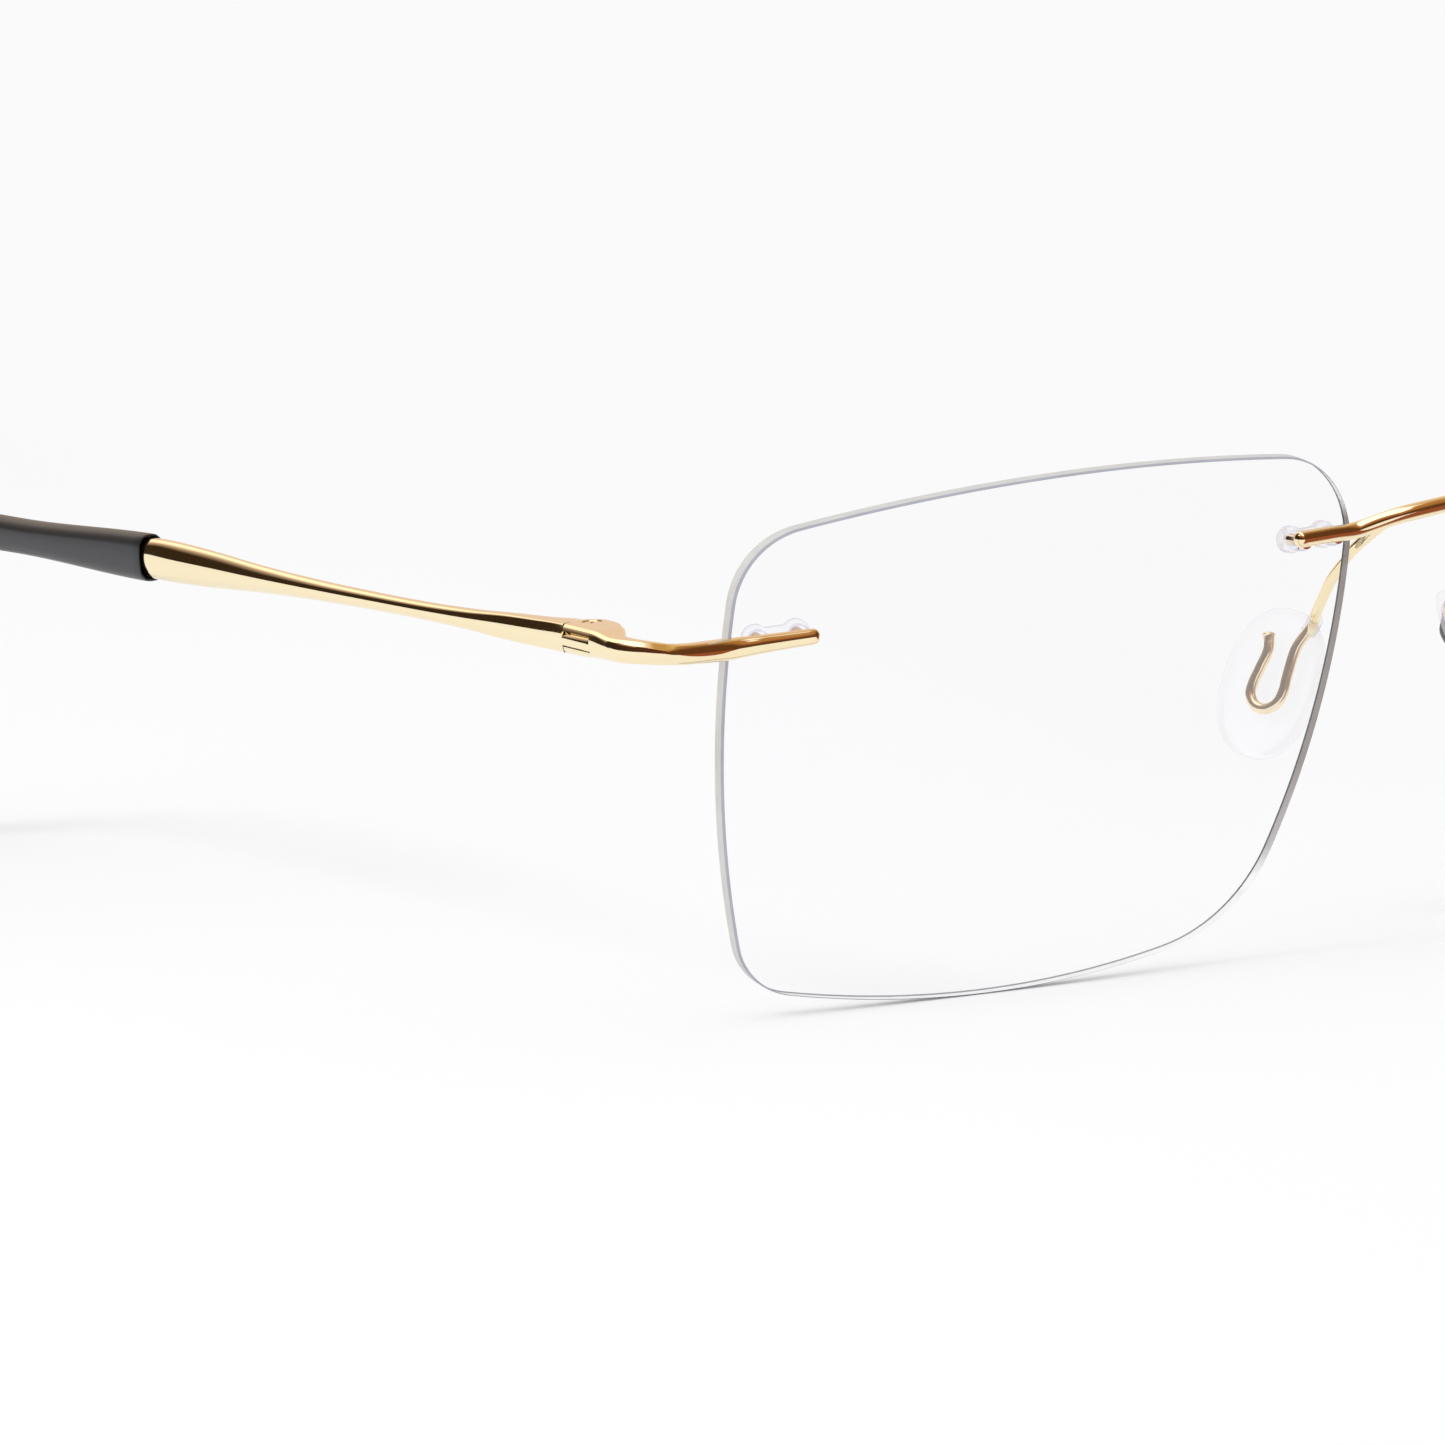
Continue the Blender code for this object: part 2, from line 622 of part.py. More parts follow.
def beyond_fork():
    """In plan about the pivot, everything past the fork's slanted outer end and its round inner end."""
    seam = radians(SEAM_ANGLE)
    middle = Vector((cos(seam), sin(seam))) * FORK_RADIUS
    along_seam = Vector((-sin(seam), cos(seam)))
    outline = [tuple(middle + along_seam * FAR)]
    for i in range(FORK_STEPS + 1):
        angle = seam + (pi / 4 - seam) * i / FORK_STEPS
        outline.append((FORK_RADIUS * cos(angle), FORK_RADIUS * sin(angle)))
    return outline + [(FAR, FAR), (-FORK_RADIUS, FAR + FORK_RADIUS)]


def slot_outline():
    """In plan about the pivot, the slot for the tongue: deeper on the outer side, where the strip lies."""
    strip = HINGE_OUTER_X - PIVOT.x + TONGUE_STRIP + TONGUE_END_GAP
    outer_part = [(-FAR, -SLOT_REACH), (strip, -SLOT_REACH), (strip, -SLOT_BACK)]
    return outer_part + [(FAR, -SLOT_BACK), (FAR, FAR), (-FAR, FAR)]


def end_piece(side, mirror, gold):
    name = f"{side}_end_piece"
    obj = new_object(name, skin(end_piece_rings()), gold, mirror)
    beyond = prism(beyond_fork(), hinge_place(), HINGE_BOTTOM_Z - CLEAR, HINGE_TOP_Z + CLEAR)
    combine(obj, "DIFFERENCE", name + "_end", beyond, mirror)
    slot = prism(slot_outline(), hinge_place(), SLOT_BOTTOM_Z, SLOT_TOP_Z)
    combine(obj, "DIFFERENCE", name + "_slot", slot, mirror)
    hole = cylinder(hinge_place(), SCREW_HOLE_RADIUS, HINGE_BOTTOM_Z - CLEAR, HINGE_TOP_Z + CLEAR)
    combine(obj, "DIFFERENCE", name + "_screw_hole", hole, mirror)
    seat = HINGE_TOP_Z - SCREW_HEAD_HEIGHT - FIT_GAP
    head = cylinder(hinge_place(), SCREW_HEAD_RADIUS + LOOSE_GAP, seat, HINGE_TOP_Z + CLEAR)
    combine(obj, "DIFFERENCE", name + "_head_recess", head, mirror)
    combine(obj, "DIFFERENCE", name + "_sockets", post_sockets(TEMPORAL_MOUNT), mirror)


def hinge_screw(side, mirror, gold):
    name = f"{side}_hinge_screw"
    top = HINGE_TOP_Z - SCREW_SINK
    rings = [
        [hinge_place(z) @ Vector((a, b, 0)) for a, b in section(FINE_ROUND, radius, radius)]
        for radius, z in (
            (SCREW_RADIUS, HINGE_BOTTOM_Z + FIT_GAP),
            (SCREW_RADIUS, top - SCREW_HEAD_HEIGHT),
            (SCREW_HEAD_RADIUS, top - SCREW_HEAD_HEIGHT + LOOSE_GAP),
            (SCREW_HEAD_RADIUS, top),
        )
    ]
    obj = new_object(name, skin(rings), gold, mirror)
    half = SCREW_SLOT_WIDTH / 2
    slot = prism(rectangle(-CLEAR, CLEAR, -half, half), hinge_place(), top - SCREW_SLOT_DEPTH, top + CLEAR)
    combine(obj, "DIFFERENCE", name + "_slot", slot, mirror)


# ---- Temples and tips ------------------------------------------------------------------------------------


def temple_centre(distance, width):
    """The middle of the temple's section, at a distance behind the fork. It turns outwards over the hinge."""
    y = PIVOT.y + SHOULDER + FIT_GAP + distance
    splayed = distance if distance > SHOULDER else (distance + SHOULDER) ** 2 / (4 * SHOULDER)
    outer_x = HINGE_OUTER_X - tan(radians(TEMPLE_SPLAY)) * splayed
    z = (HINGE_TOP_Z + HINGE_BOTTOM_Z) / 2 + tan(radians(TEMPLE_SLOPE)) * distance
    return Vector((outer_x + width / 2, y, z))


def tongue_outline():
    """In plan about the pivot: a round knuckle, a strip along the outer face, and a root at the shoulder."""
    outer = HINGE_OUTER_X - PIVOT.x
    inner = outer + TONGUE_STRIP
    root = SHOULDER + TONGUE_ROOT
    front = -SLOT_REACH + TONGUE_END_GAP
    corner = TONGUE_CORNER
    outline = [(outer, root), (outer, front + corner), (outer + corner, front)]
    outline += [(inner - corner, front), (inner, front + corner)]
    start = atan2(-sqrt(TONGUE_RADIUS**2 - inner**2), inner)
    for i in range(KNUCKLE_STEPS + 1):
        angle = start * (1 - i / KNUCKLE_STEPS)
        outline.append((TONGUE_RADIUS * cos(angle), TONGUE_RADIUS * sin(angle)))
    outline += [(TONGUE_RADIUS * x, TONGUE_RADIUS * y) for x, y in TONGUE_SHOULDER]
    return outline + [(TONGUE_SHOULDER[-1][0] * TONGUE_RADIUS, root)]


def tip_line():
    """The middle of the tip: straight on from the temple, round the ear bend, and down to the table."""
    width = TIP_SECTIONS[0][2]
    start = temple_centre(TEMPLE_LENGTH + TIP_GAP, width)
    bend = temple_centre(TIP_BEND_START, width) - Vector((0, 0, TIP_DROP))
    forward = (bend - start).normalized()
    across = forward.cross(Vector((0, 0, 1))).normalized()
    down = forward.cross(across)
    angle = radians(TIP_BEND_ANGLE)
    straight_steps, bend_steps, drop_steps = TIP_STEPS
    line = [start.lerp(bend, i / straight_steps) for i in range(straight_steps)]
    for i in range(bend_steps + 1):
        turn = angle * i / bend_steps
        line.append(bend + (forward * sin(turn) + down * (1 - cos(turn))) * TIP_BEND_RADIUS)
    heading = forward * cos(angle) + down * sin(angle)
    drop = (line[-1].z - TIP_END_Z) / -heading.z
    corner = line[-1].copy()
    line += [corner + heading * drop * i / drop_steps for i in range(1, drop_steps + 1)]
    return line


def distances(line):
    run = [0.0]
    for before, after in zip(line, line[1:]):
        run.append(run[-1] + (after - before).length)
    return run


def core_line():
    """The middle of the wire core: from inside the temple to near the end of the tip."""
    line = tip_line()
    run = distances(line)
    core = [point for point, at in zip(line, run) if at <= run[-1] - CORE_END]
    start = core[0] - (core[1] - core[0]).normalized() * CORE_ROOT
    return [start] + core


def between(table, at):
    """The row of a table of (place, value, value...) at a place, eased between its rows."""
    for low, high in zip(table, table[1:]):
        if at <= high[0]:
            t = (at - low[0]) / (high[0] - low[0])
            t = t * t * (3 - 2 * t)
            return [a + (b - a) * t for a, b in zip(low[1:], high[1:])]
    return list(table[-1][1:])


def temple(side, mirror, gold, axis):
    name = f"{side}_temple"
    keys = [Vector(row) for row in (TEMPLE_FRONT, *TEMPLE_SECTIONS)]
    rings = []
    for distance, height, width, square in along(keys, 3):
        centre = temple_centre(distance, width)
        rings.append([centre + Vector((-a, 0, b)) for a, b in section(ROUND, width / 2, height / 2, square)])
    obj = new_object(name, skin(rings), gold, mirror, axis)
    facing = hinge_place() @ Matrix.Rotation(radians(SEAM_ANGLE), 4, "Z")
    before = prism(rectangle(-FAR, SHOULDER, -FAR, FAR), facing, HINGE_BOTTOM_Z - CLEAR, HINGE_TOP_Z + CLEAR)
    combine(obj, "DIFFERENCE", name + "_shoulder", before, mirror)
    z_low, z_high = SLOT_BOTTOM_Z + FIT_GAP, SLOT_TOP_Z - FIT_GAP
    combine(obj, "UNION", name + "_tongue", prism(tongue_outline(), hinge_place(), z_low, z_high), mirror)
    hole = cylinder(hinge_place(), SCREW_HOLE_RADIUS, HINGE_BOTTOM_Z - CLEAR, HINGE_TOP_Z + CLEAR)
    combine(obj, "DIFFERENCE", name + "_pin_hole", hole, mirror)
    core = round_sweep(core_line(), CORE_RADIUS, count=WIRE_ROUND, round_end=True)
    combine(obj, "UNION", name + "_core", skin(core), mirror)


def temple_tip(side, mirror, black, axis):
    name = f"{side}_temple_tip"
    line = tip_line()
    run = distances(line)
    sizes = []
    for at in run:
        height, thickness = between(TIP_SECTIONS, at / run[-1])
        sizes.append((thickness / 2, height / 2, TIP_SQUARENESS))
    obj = new_object(name, skin(sweep(line, sizes, round_end=True)), black, mirror, axis)
    bore = core_line()
    bore.append(bore[-1] + (bore[-1] - bore[-2]).normalized() * CORE_END_GAP)
    pocket = skin(round_sweep(bore, CORE_BORE_RADIUS, count=WIRE_ROUND, round_end=True))
    combine(obj, "DIFFERENCE", name + "_bore", pocket, mirror)


def hinge_axis(side, mirror):
    axis = bpy.data.objects.new(f"{side}_hinge_axis", None)
    middle_z = (HINGE_TOP_Z + HINGE_BOTTOM_Z) / 2
    axis.location = (PIVOT.x * mirror * MM, (PIVOT.y - ORIGIN_Y) * MM, middle_z * MM)
    axis.empty_display_size = 4 * MM
    bpy.context.collection.objects.link(axis)
    return axis


# ---- Assembly --------------------------------------------------------------------------------------------


def clear_scene():
    for obj in list(bpy.data.objects):
        bpy.data.objects.remove(obj, do_unlink=True)


def main():
    clear_scene()
    gold = material("polished_gold", (0.83, 0.57, 0.22), 0.12, metallic=1.0)
    black = material("satin_black", (0.02, 0.02, 0.022), 0.45)
    clear = material("clear_lens", (0.95, 0.96, 0.97), 0.02, transmission=1.0)
    silicone = material("clear_silicone", (0.93, 0.94, 0.97), 0.2, transmission=0.9)
    bridge(gold)
    for side, mirror in SIDES:
        lens(f"{side}_lens", mirror, clear)
        for site, mount in (("temporal", TEMPORAL_MOUNT), ("nasal", NASAL_MOUNT)):
            sleeve(f"{side}_{site}_sleeve", mount, mirror, silicone)
            posts(side, site, mount, mirror, gold)
        pad_arm(f"{side}_pad_arm", mirror, gold)
        nose_pad(f"{side}_nose_pad", mirror, silicone)
        end_piece(side, mirror, gold)
        hinge_screw(side, mirror, gold)
        axis = hinge_axis(side, mirror)
        temple(side, mirror, gold, axis)
        temple_tip(side, mirror, black, axis)


main()
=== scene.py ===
"""Looks of the rimless eyeglasses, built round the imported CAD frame.

Lengths are millimetres until new_piece() turns them into metres. +Z is up, +Y points back along the temples
and x = 0 is the mirror plane. The shapes repeat the CAD's dimensions with finer sections, rounded corners,
braze fillets and a hollow mouth on each temple tip. Every CAD node has one piece that stands for it and
rides on the node's body, so the folding temples carry their pieces with them.
"""

from itertools import accumulate
from math import atan2, cos, pi, radians, sin, sqrt, tan

import bmesh
import bpy
from mathutils import Matrix, Vector


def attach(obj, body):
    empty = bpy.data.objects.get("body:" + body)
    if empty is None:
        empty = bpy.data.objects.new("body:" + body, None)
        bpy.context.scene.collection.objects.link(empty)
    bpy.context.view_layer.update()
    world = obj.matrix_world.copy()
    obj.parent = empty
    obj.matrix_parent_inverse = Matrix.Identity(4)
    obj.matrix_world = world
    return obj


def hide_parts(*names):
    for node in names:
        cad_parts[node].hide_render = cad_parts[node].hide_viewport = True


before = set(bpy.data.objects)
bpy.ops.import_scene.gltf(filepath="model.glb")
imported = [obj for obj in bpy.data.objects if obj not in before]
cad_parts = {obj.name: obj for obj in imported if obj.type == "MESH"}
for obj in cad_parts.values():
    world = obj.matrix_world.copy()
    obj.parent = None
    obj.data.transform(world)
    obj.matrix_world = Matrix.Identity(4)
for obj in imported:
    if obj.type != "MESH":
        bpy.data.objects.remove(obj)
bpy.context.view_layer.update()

# ---- Dimensions, most of them the CAD's own

MM = 0.001
ORIGIN_Y = 67.5
SIDES = (("right", 1), ("left", -1))

LENS_CORNERS = (
    Vector((-24.2, 16.6)),
    Vector((28.1, 18.2)),
    Vector((17.35, -17.0)),
    Vector((-23.7, -18.0)),
)
LENS_BOWS = (2.5, 2.0, 2.5, 2.25)
LENS_CORNER_RADII = (6.8, 6.7, 12.6, 5.4)
LENS_CENTRE = Vector((-35.3, 0.8, 19.65))
LENS_WRAP = 1.7
LENS_TILT = 6.6
BASE_CURVE_RADIUS = 130.0
LENS_THICKNESS = 1.4
LENS_HOLE_RADIUS = 0.8
LENS_BEVEL = 0.26
LENS_BACK_BEVEL = 0.1
LENS_FLARE = 0.03
LENS_SIDE_STEPS = 26
LENS_CORNER_STEPS = 16
LENS_RINGS = 14

# Across the lens from its middle, up it, and the slope of the metal there in degrees
TEMPORAL_MOUNT = (-21.6, 9.38, 3.8)
NASAL_MOUNT = (24.3, 12.5, 1.0)
POST_SPACING = 3.15
POST_RADIUS = 0.45
SLEEVE_TUBE_RADIUS = 0.75
SLEEVE_BORE_RADIUS = 0.47
SLEEVE_LOBE_RADIUS = 1.05
SLEEVE_WEB_HALF_HEIGHT = 0.7
SLEEVE_BACK_THICKNESS = 0.95
SLEEVE_BLEND = 0.45
# How far from the face, and how much the outline grows there
SLEEVE_BACK_ROUND = ((0.0, -0.22), (0.05, -0.1), (0.16, -0.03), (0.3, 0.0))
SLEEVE_FRONT_ROUND = ((-0.05, 0.0), (0.0, -0.05))
SLEEVE_TUBE_NOSE = ((0.66, -0.05), (0.72, -0.12), (SLEEVE_TUBE_RADIUS, -0.2))
SLEEVE_TUBE_ROOT = 0.3
SLEEVE_BORE_DEPTH = 0.62
POST_DEPTH = 0.6
POST_CHAMFER = 0.08
POST_FILLET = 0.12
POST_REACH = 0.35
LENS_REST_GAP = 0.08
SLEEVE_REST_GAP = 0.14

BRIDGE_RADIUS = 0.65
BRIDGE_RISE = 0.35
BRIDGE_ROD_END = 2.95
BRIDGE_LENS_EDGE = 3.0
BRIDGE_NOSE = 0.8
BRIDGE_CENTRE = Vector((0.0, -0.4, 34.4))
BRIDGE_SHOULDER = Vector((-4.6, 0.15, 33.75))

PAD_CENTRE = Vector((-9.05, 13.4, 19.75))
PAD_SPLAY = 28.0
PAD_SLOPE = 20.0
PAD_OVAL_CENTRE = (-0.05, 0.1)
PAD_HALF_WIDTH = 4.25
PAD_HALF_LENGTH = 6.05
PAD_OVAL_TURN = -12.0
PAD_SQUARENESS = 2.2
# Depth from the wire towards the nose, and the share of the oval's full size there
PAD_FACES = ((-1.0, 0.84), (-0.98, 0.91), (-0.88, 0.965), (-0.7, 0.99), (-0.4, 1.0), (0.15, 1.0),
             (0.45, 0.975), (0.68, 0.925), (0.85, 0.85), (0.98, 0.74), (1.06, 0.6), (1.1, 0.4))
PAD_COLLAR_RADIUS = 0.62
PAD_WIRE_RADIUS = 0.43
PAD_FOOT_GROWTH = 0.12
PAD_FOOT_STEPS = 5
PAD_WIRE_NOSE = 0.25
PAD_ARM_TURNS = (
    (-5.4, 0.15, 33.6),
    (-6.15, 1.45, 32.55),
    (-6.7, 3.0, 31.4),
    (-6.8, 4.6, 30.35),
    (-6.95, 7.2, 28.3),
    (-6.85, 9.8, 25.6),
)
# Across and down the pad
PAD_WIRE_TURNS = ((-2.9, -4.7), (-1.75, -2.9), (-1.3, -0.7), (-1.15, 0.6), (-0.72, 1.6), (0.25, 2.1),
                  (1.25, 1.85), (1.8, 1.05), (1.72, 0.1), (1.3, -1.1), (0.8, -2.6), (1.0, -4.0))

PIVOT = Vector((-67.75, 12.3))
HINGE_OUTER_X = -70.2
HINGE_TOP_Z = 30.6
HINGE_BOTTOM_Z = 28.3
SHOULDER = 1.65
FORK_RADIUS = 1.6
SEAM_ANGLE = 127.0
SLOT_TOP_Z = 30.1
SLOT_BOTTOM_Z = 28.93
SLOT_REACH = 4.35
SLOT_BACK = 1.5
SLOT_SLACK = 0.1
TONGUE_RADIUS = 1.4
TONGUE_STRIP = 1.5
TONGUE_SETBACK = 0.03
TONGUE_SLACK = 0.05
STRIP_SLACK = 0.04
STRIP_ROUND = 0.3
STRIP_BEVEL = 0.38
SEAM_GAP = 0.04
SCREW_RADIUS = 0.5
SCREW_HEAD_RADIUS = 0.74
SCREW_HOLE_RADIUS = 0.53
SCREW_SINK = 0.03
SCREW_SLOT_TURN = 62.0
SCREW_SLOT_WIDTH = 0.24
SCREW_SLOT_DEPTH = 0.16
HEAD_GAP = 0.05
HEAD_MOUTH_GAP = 0.12
HEAD_DEPTH = 0.3

ARM_TIP = 2.75
ARM_TIP_RADIUS = 0.6
ARM_EDGE = -4.75
BLOCK_START_Y = 4.9
ARM_WIDTH = 1.8
FORK_CURVE = (3.6, 11.2)
BEVEL_END_X = -66.0
BEVEL_FADE = 0.7
BLOCK_FALL = (8.2, 0.25)
BLOCK_LIFT = (11.5, 0.25)
BLOCK_BOWS = (0.144, 0.0, 0.24, 0.12)
BLOCK_CORNER = 0.2
# Along the arm on the lens: distance, radius, outer bow, top bow, corner radius
ARM_KEYS = (
    (ARM_TIP, ARM_TIP_RADIUS, 0.15, 0.15, 0.2),
    (-1.6, 0.7, 0.2, 0.2, 0.2),
    (ARM_EDGE, 0.84, 0.24, 0.24, 0.25),
)
# Round the corner: point, half width, half height, outer bow, top bow, corner radius
CORNER_KEYS = (
    ((-65.8, 1.85, 29.05), 0.83, 0.79, 0.24, 0.0, 0.5),
    ((-68.1, 2.72, 29.32), 0.88, 0.86, 0.24, 0.0, 0.34),
    ((-69.0, 3.75, 29.42), 0.95, 0.89, 0.24, 0.0, 0.24),
)

TEMPLE_SPLAY = 4.8
TEMPLE_SLOPE = -0.1
TEMPLE_LENGTH = 66.2
TIP_BEND_START = 93.5
TIP_DROP = 0.3
TIP_BEND_RADIUS = 20.0
TIP_BEND_ANGLE = 60.0
TIP_END_Z = 0.34
TIP_PROUD = 0.25
TIP_GAP = 0.13
TIP_NOSE = 1.5
# Share of the tip's length, height, thickness
TIP_SECTIONS = ((0.0, 3.85, 2.35), (0.33, 2.9, 2.3), (0.55, 3.1, 2.3), (0.8, 4.2, 2.2), (1.0, 3.8, 2.0))
TIP_BOWS = (0.16, 0.2, 0.16, 0.2)
TIP_CORNER = 0.5
# The hollow mouth, from inside to outside: share of the first section, distance back
TIP_MOUTH = ((0.88, 1.2), (0.9, 0.0), (0.94, -0.06), (0.985, -0.03), (1.0, 0.08))

# How finely shapes are divided, and how far a cutting tool reaches past what it cuts
SIDE_POINTS = 9
CORNER_POINTS = 5
DOME_ANGLE = 86.0
DOME_STEPS = 7
WIRE_POINTS = 20
PAD_POINTS = 72
KEY_STEPS = 14
BEND_STEPS = 32
LEG_STEPS = 24
BLOCK_STEPS = 64
LOBE_STEPS = 32
BLEND_STEPS = 6
ARC_STEPS = 24
PAST = 1.0

# Edges sharper than this many degrees stay crisp
SHARP = 35
LENS_SHARP = 32
HINGE_SHARP = 38
ROUND_SHARP = 50
PAD_SHARP = 60


# ---- Geometry helpers


def along(points, steps):
    """A smooth line through the points: a Catmull-Rom spline with the given steps in each span."""
    points = [Vector(point) for point in points]
    padded = [2 * points[0] - points[1]] + points + [2 * points[-1] - points[-2]]
    line = []
    for before, start, end, after in zip(padded, padded[1:], padded[2:], padded[3:]):
        for step in range(steps):
            t = step / steps
            line.append(
                0.5 * (2 * start + (end - before) * t + (2 * before - 5 * start + 4 * end - after) * t**2
                       + (3 * start - before - 3 * end + after) * t**3)
            )
    return line + [points[-1]]


def circle(radius, count):
    return [(radius * cos(2 * pi * i / count), radius * sin(2 * pi * i / count)) for i in range(count)]


def bowed(half_width, half_height, bows, corner, flat=0.5):
    """A four-sided section whose sides stand out by bows (right, top, left, bottom).

    Its corners are rounded where flat is 0.5, and cut straight where flat is 1.
    """
    most_cut, corner_lift = 0.45, 0.24
    right, top, left, bottom = bows
    corners = [
        Vector((half_width - right, bottom - half_height)),
        Vector((half_width - right, half_height - top)),
        Vector((left - half_width, half_height - top)),
        Vector((left - half_width, bottom - half_height)),
    ]
    outward = (Vector((1, 0)), Vector((0, 1)), Vector((-1, 0)), Vector((0, -1)))
    sides = []
    for i in range(4):
        p, q = corners[i], corners[(i + 1) % 4]
        cut = min(corner / (q - p).length, most_cut)
        side = []
        for step in range(SIDE_POINTS):
            t = cut + (1 - 2 * cut) * step / (SIDE_POINTS - 1)
            side.append(p.lerp(q, t) + outward[i] * bows[i] * 4 * t * (1 - t))
        sides.append(side)
    outline = []
    for i in range(4):
        after = (i + 1) % 4
        outline += sides[i]
        start, end = sides[i][-1], sides[after][0]
        control = corners[after].lerp((start + end) / 2, flat)
        lift = (outward[i] * bows[i] + outward[after] * bows[after]) * corner_lift * (1 - flat)
        for step in range(1, CORNER_POINTS + 1):
            t = step / (CORNER_POINTS + 1)
            outline.append((1 - t) ** 2 * start + 2 * t * (1 - t) * (control + lift) + t**2 * end)
    return [(p.x, p.y) for p in outline]


def round_section(radius):
    """A circle with as many points as bowed(), and its points at the same places round the section."""
    per_side = SIDE_POINTS + CORNER_POINTS
    turn = -pi / 4 + pi / 2 * 0.5 / SIDE_POINTS
    return [
        (radius * cos(turn + pi / 2 * i / per_side), radius * sin(turn + pi / 2 * i / per_side))
        for i in range(4 * per_side)
    ]


def mixed(first, second, share):
    return [(a[0] + (b[0] - a[0]) * share, a[1] + (b[1] - a[1]) * share) for a, b in zip(first, second)]


def nosed(stations, reach, at_end):
    """Closes one end of a bar with a rounded nose, in place of the sections within its reach."""
    sign = 1 if at_end else -1
    point, tangent, outline = stations[-1 if at_end else 0]
    base = point - tangent * reach * sign
    nose = [(base, tangent, outline)]
    for step in range(1, DOME_STEPS + 1):
        angle = radians(DOME_ANGLE) * step / DOME_STEPS
        share = cos(angle)
        centre = base + tangent * reach * sin(angle) * sign
        nose.append((centre, tangent, [(a * share, b * share) for a, b in outline]))
    kept = [station for station in stations if (station[0] - point).length > reach]
    return kept + nose if at_end else nose[::-1] + kept


def loft(line, outlines, up=Vector((0, 0, 1)), nose_start=0.0, nose_end=0.0):
    """Rings that carry one outline at each point of a line, with rounded noses of the reaches given."""
    stations = []
    for i, point in enumerate(line):
        tangent = (line[min(i + 1, len(line) - 1)] - line[max(i - 1, 0)]).normalized()
        stations.append((point, tangent, outlines[i]))
    if nose_start:
        stations = nosed(stations, nose_start, False)
    if nose_end:
        stations = nosed(stations, nose_end, True)
    rings = []
    for point, tangent, outline in stations:
        side = tangent.cross(up).normalized()
        rise = side.cross(tangent)
        rings.append([point + side * a + rise * b for a, b in outline])
    return rings


def skin(rings):
    """Vertices and faces of a closed body: quads between rings, and a flat face on each end."""
    count = len(rings[0])
    vertices = [point for ring in rings for point in ring]
    faces = [list(range(count)), list(range(len(vertices) - count, len(vertices)))]
    for row in range(len(rings) - 1):
        for i in range(count):
            j = (i + 1) % count
            first, second = row * count, (row + 1) * count
            faces.append([first + i, first + j, second + j, second + i])
    return vertices, faces


def prism(outline, place, low, high):
    return skin([[place @ Vector((x, y, z)) for x, y in outline] for z in (low, high)])


def cylinder(place, radius, low, high, count=40):
    return prism(circle(radius, count), place, low, high)


def turned(place, profile, count=40):
    """A body of revolution from (radius, height) rows."""
    return skin([[place @ Vector((x, y, z)) for x, y in circle(radius, count)] for radius, z in profile])


def placement(origin, x_axis, z_axis):
    z_axis = z_axis.normalized()
    x_axis = (x_axis - z_axis * x_axis.dot(z_axis)).normalized()
    turn = Matrix((x_axis, z_axis.cross(x_axis), z_axis)).transposed().to_4x4()
    return Matrix.Translation(origin) @ turn


# ---- Materials


class Nodes:
    """Short names for building a material's or the world's nodes."""

    def __init__(self, owner):
        owner.use_nodes = True
        self.owner, self.tree = owner, owner.node_tree
        self.tree.nodes.clear()

    def add(self, kind, **settings):
        node = self.tree.nodes.new("ShaderNode" + kind)
        for name, value in settings.items():
            setattr(node, name, value)
        return node

    def put(self, node, **inputs):
        """Sets or links inputs, by name with an underscore for a space, or by number as i0, i1 and so on."""
        for name, value in inputs.items():
            numbered = name[0] == "i" and name[1:].isdigit()
            socket = node.inputs[int(name[1:]) if numbered else name.replace("_", " ")]
            if hasattr(value, "is_output"):
                self.tree.links.new(value, socket)
            else:
                socket.default_value = value
        return node

    def output(self, kind, **inputs):
        """The first output of a new node with these inputs."""
        return self.put(self.add(kind), **inputs).outputs[0]

    def math(self, operation, *values, clamp=False):
        node = self.add("Math", operation=operation, use_clamp=clamp)
        return self.put(node, **{f"i{i}": value for i, value in enumerate(values)}).outputs[0]

    def fade(self, value, start, gain):
        """0 until the value passes the start, then up to 1. A negative gain counts downwards from there."""
        return self.math("MULTIPLY", self.math("SUBTRACT", value, start), gain, clamp=True)

    def ramp(self, factor, stops):
        node = self.add("ValToRGB")
        elements = node.color_ramp.elements
        while len(elements) < len(stops):
            elements.new(0.5)
        for element, (place, colour) in zip(elements, stops):
            element.position = place
            element.color = (*colour, 1.0)
        return self.put(node, Fac=factor).outputs["Color"]

    def mix_colour(self, factor, first, second, blend="MIX"):
        """A Mix node set to colour keeps its colours in inputs 6 and 7, and its result in output 2."""
        node = self.add("Mix", data_type="RGBA", blend_type=blend)
        return self.put(node, i0=factor, i6=first, i7=second).outputs[2]

    def mix_shader(self, factor, first, second):
        return self.output("MixShader", i0=factor, i1=first, i2=second)

    def noise(self, scale, detail=3.0, vector=None):
        coordinates = vector or self.add("TexCoord").outputs["Object"]
        return self.output("TexNoise", Scale=scale, Detail=detail, Vector=coordinates)

    def in_mirror(self):
        """1 for rays that a shiny surface has reflected, and 0 for those straight from the camera."""
        path = self.add("LightPath").outputs
        reflected = self.math("GREATER_THAN", path["Glossy Depth"], 0.5)
        return self.math("SUBTRACT", reflected, path["Is Diffuse Ray"], clamp=True)

    def finish(self, surface, kind="Material"):
        self.put(self.add("Output" + kind), Surface=surface)
        return self.owner

    def finish_clear(self, seen, shade):
        """What the camera sees, and the tint that light takes on its way through."""
        tinted = self.output("BsdfTransparent", Color=(*shade, 1))
        is_shadow = self.add("LightPath").outputs["Is Shadow Ray"]
        return self.finish(self.mix_shader(is_shadow, seen, tinted))


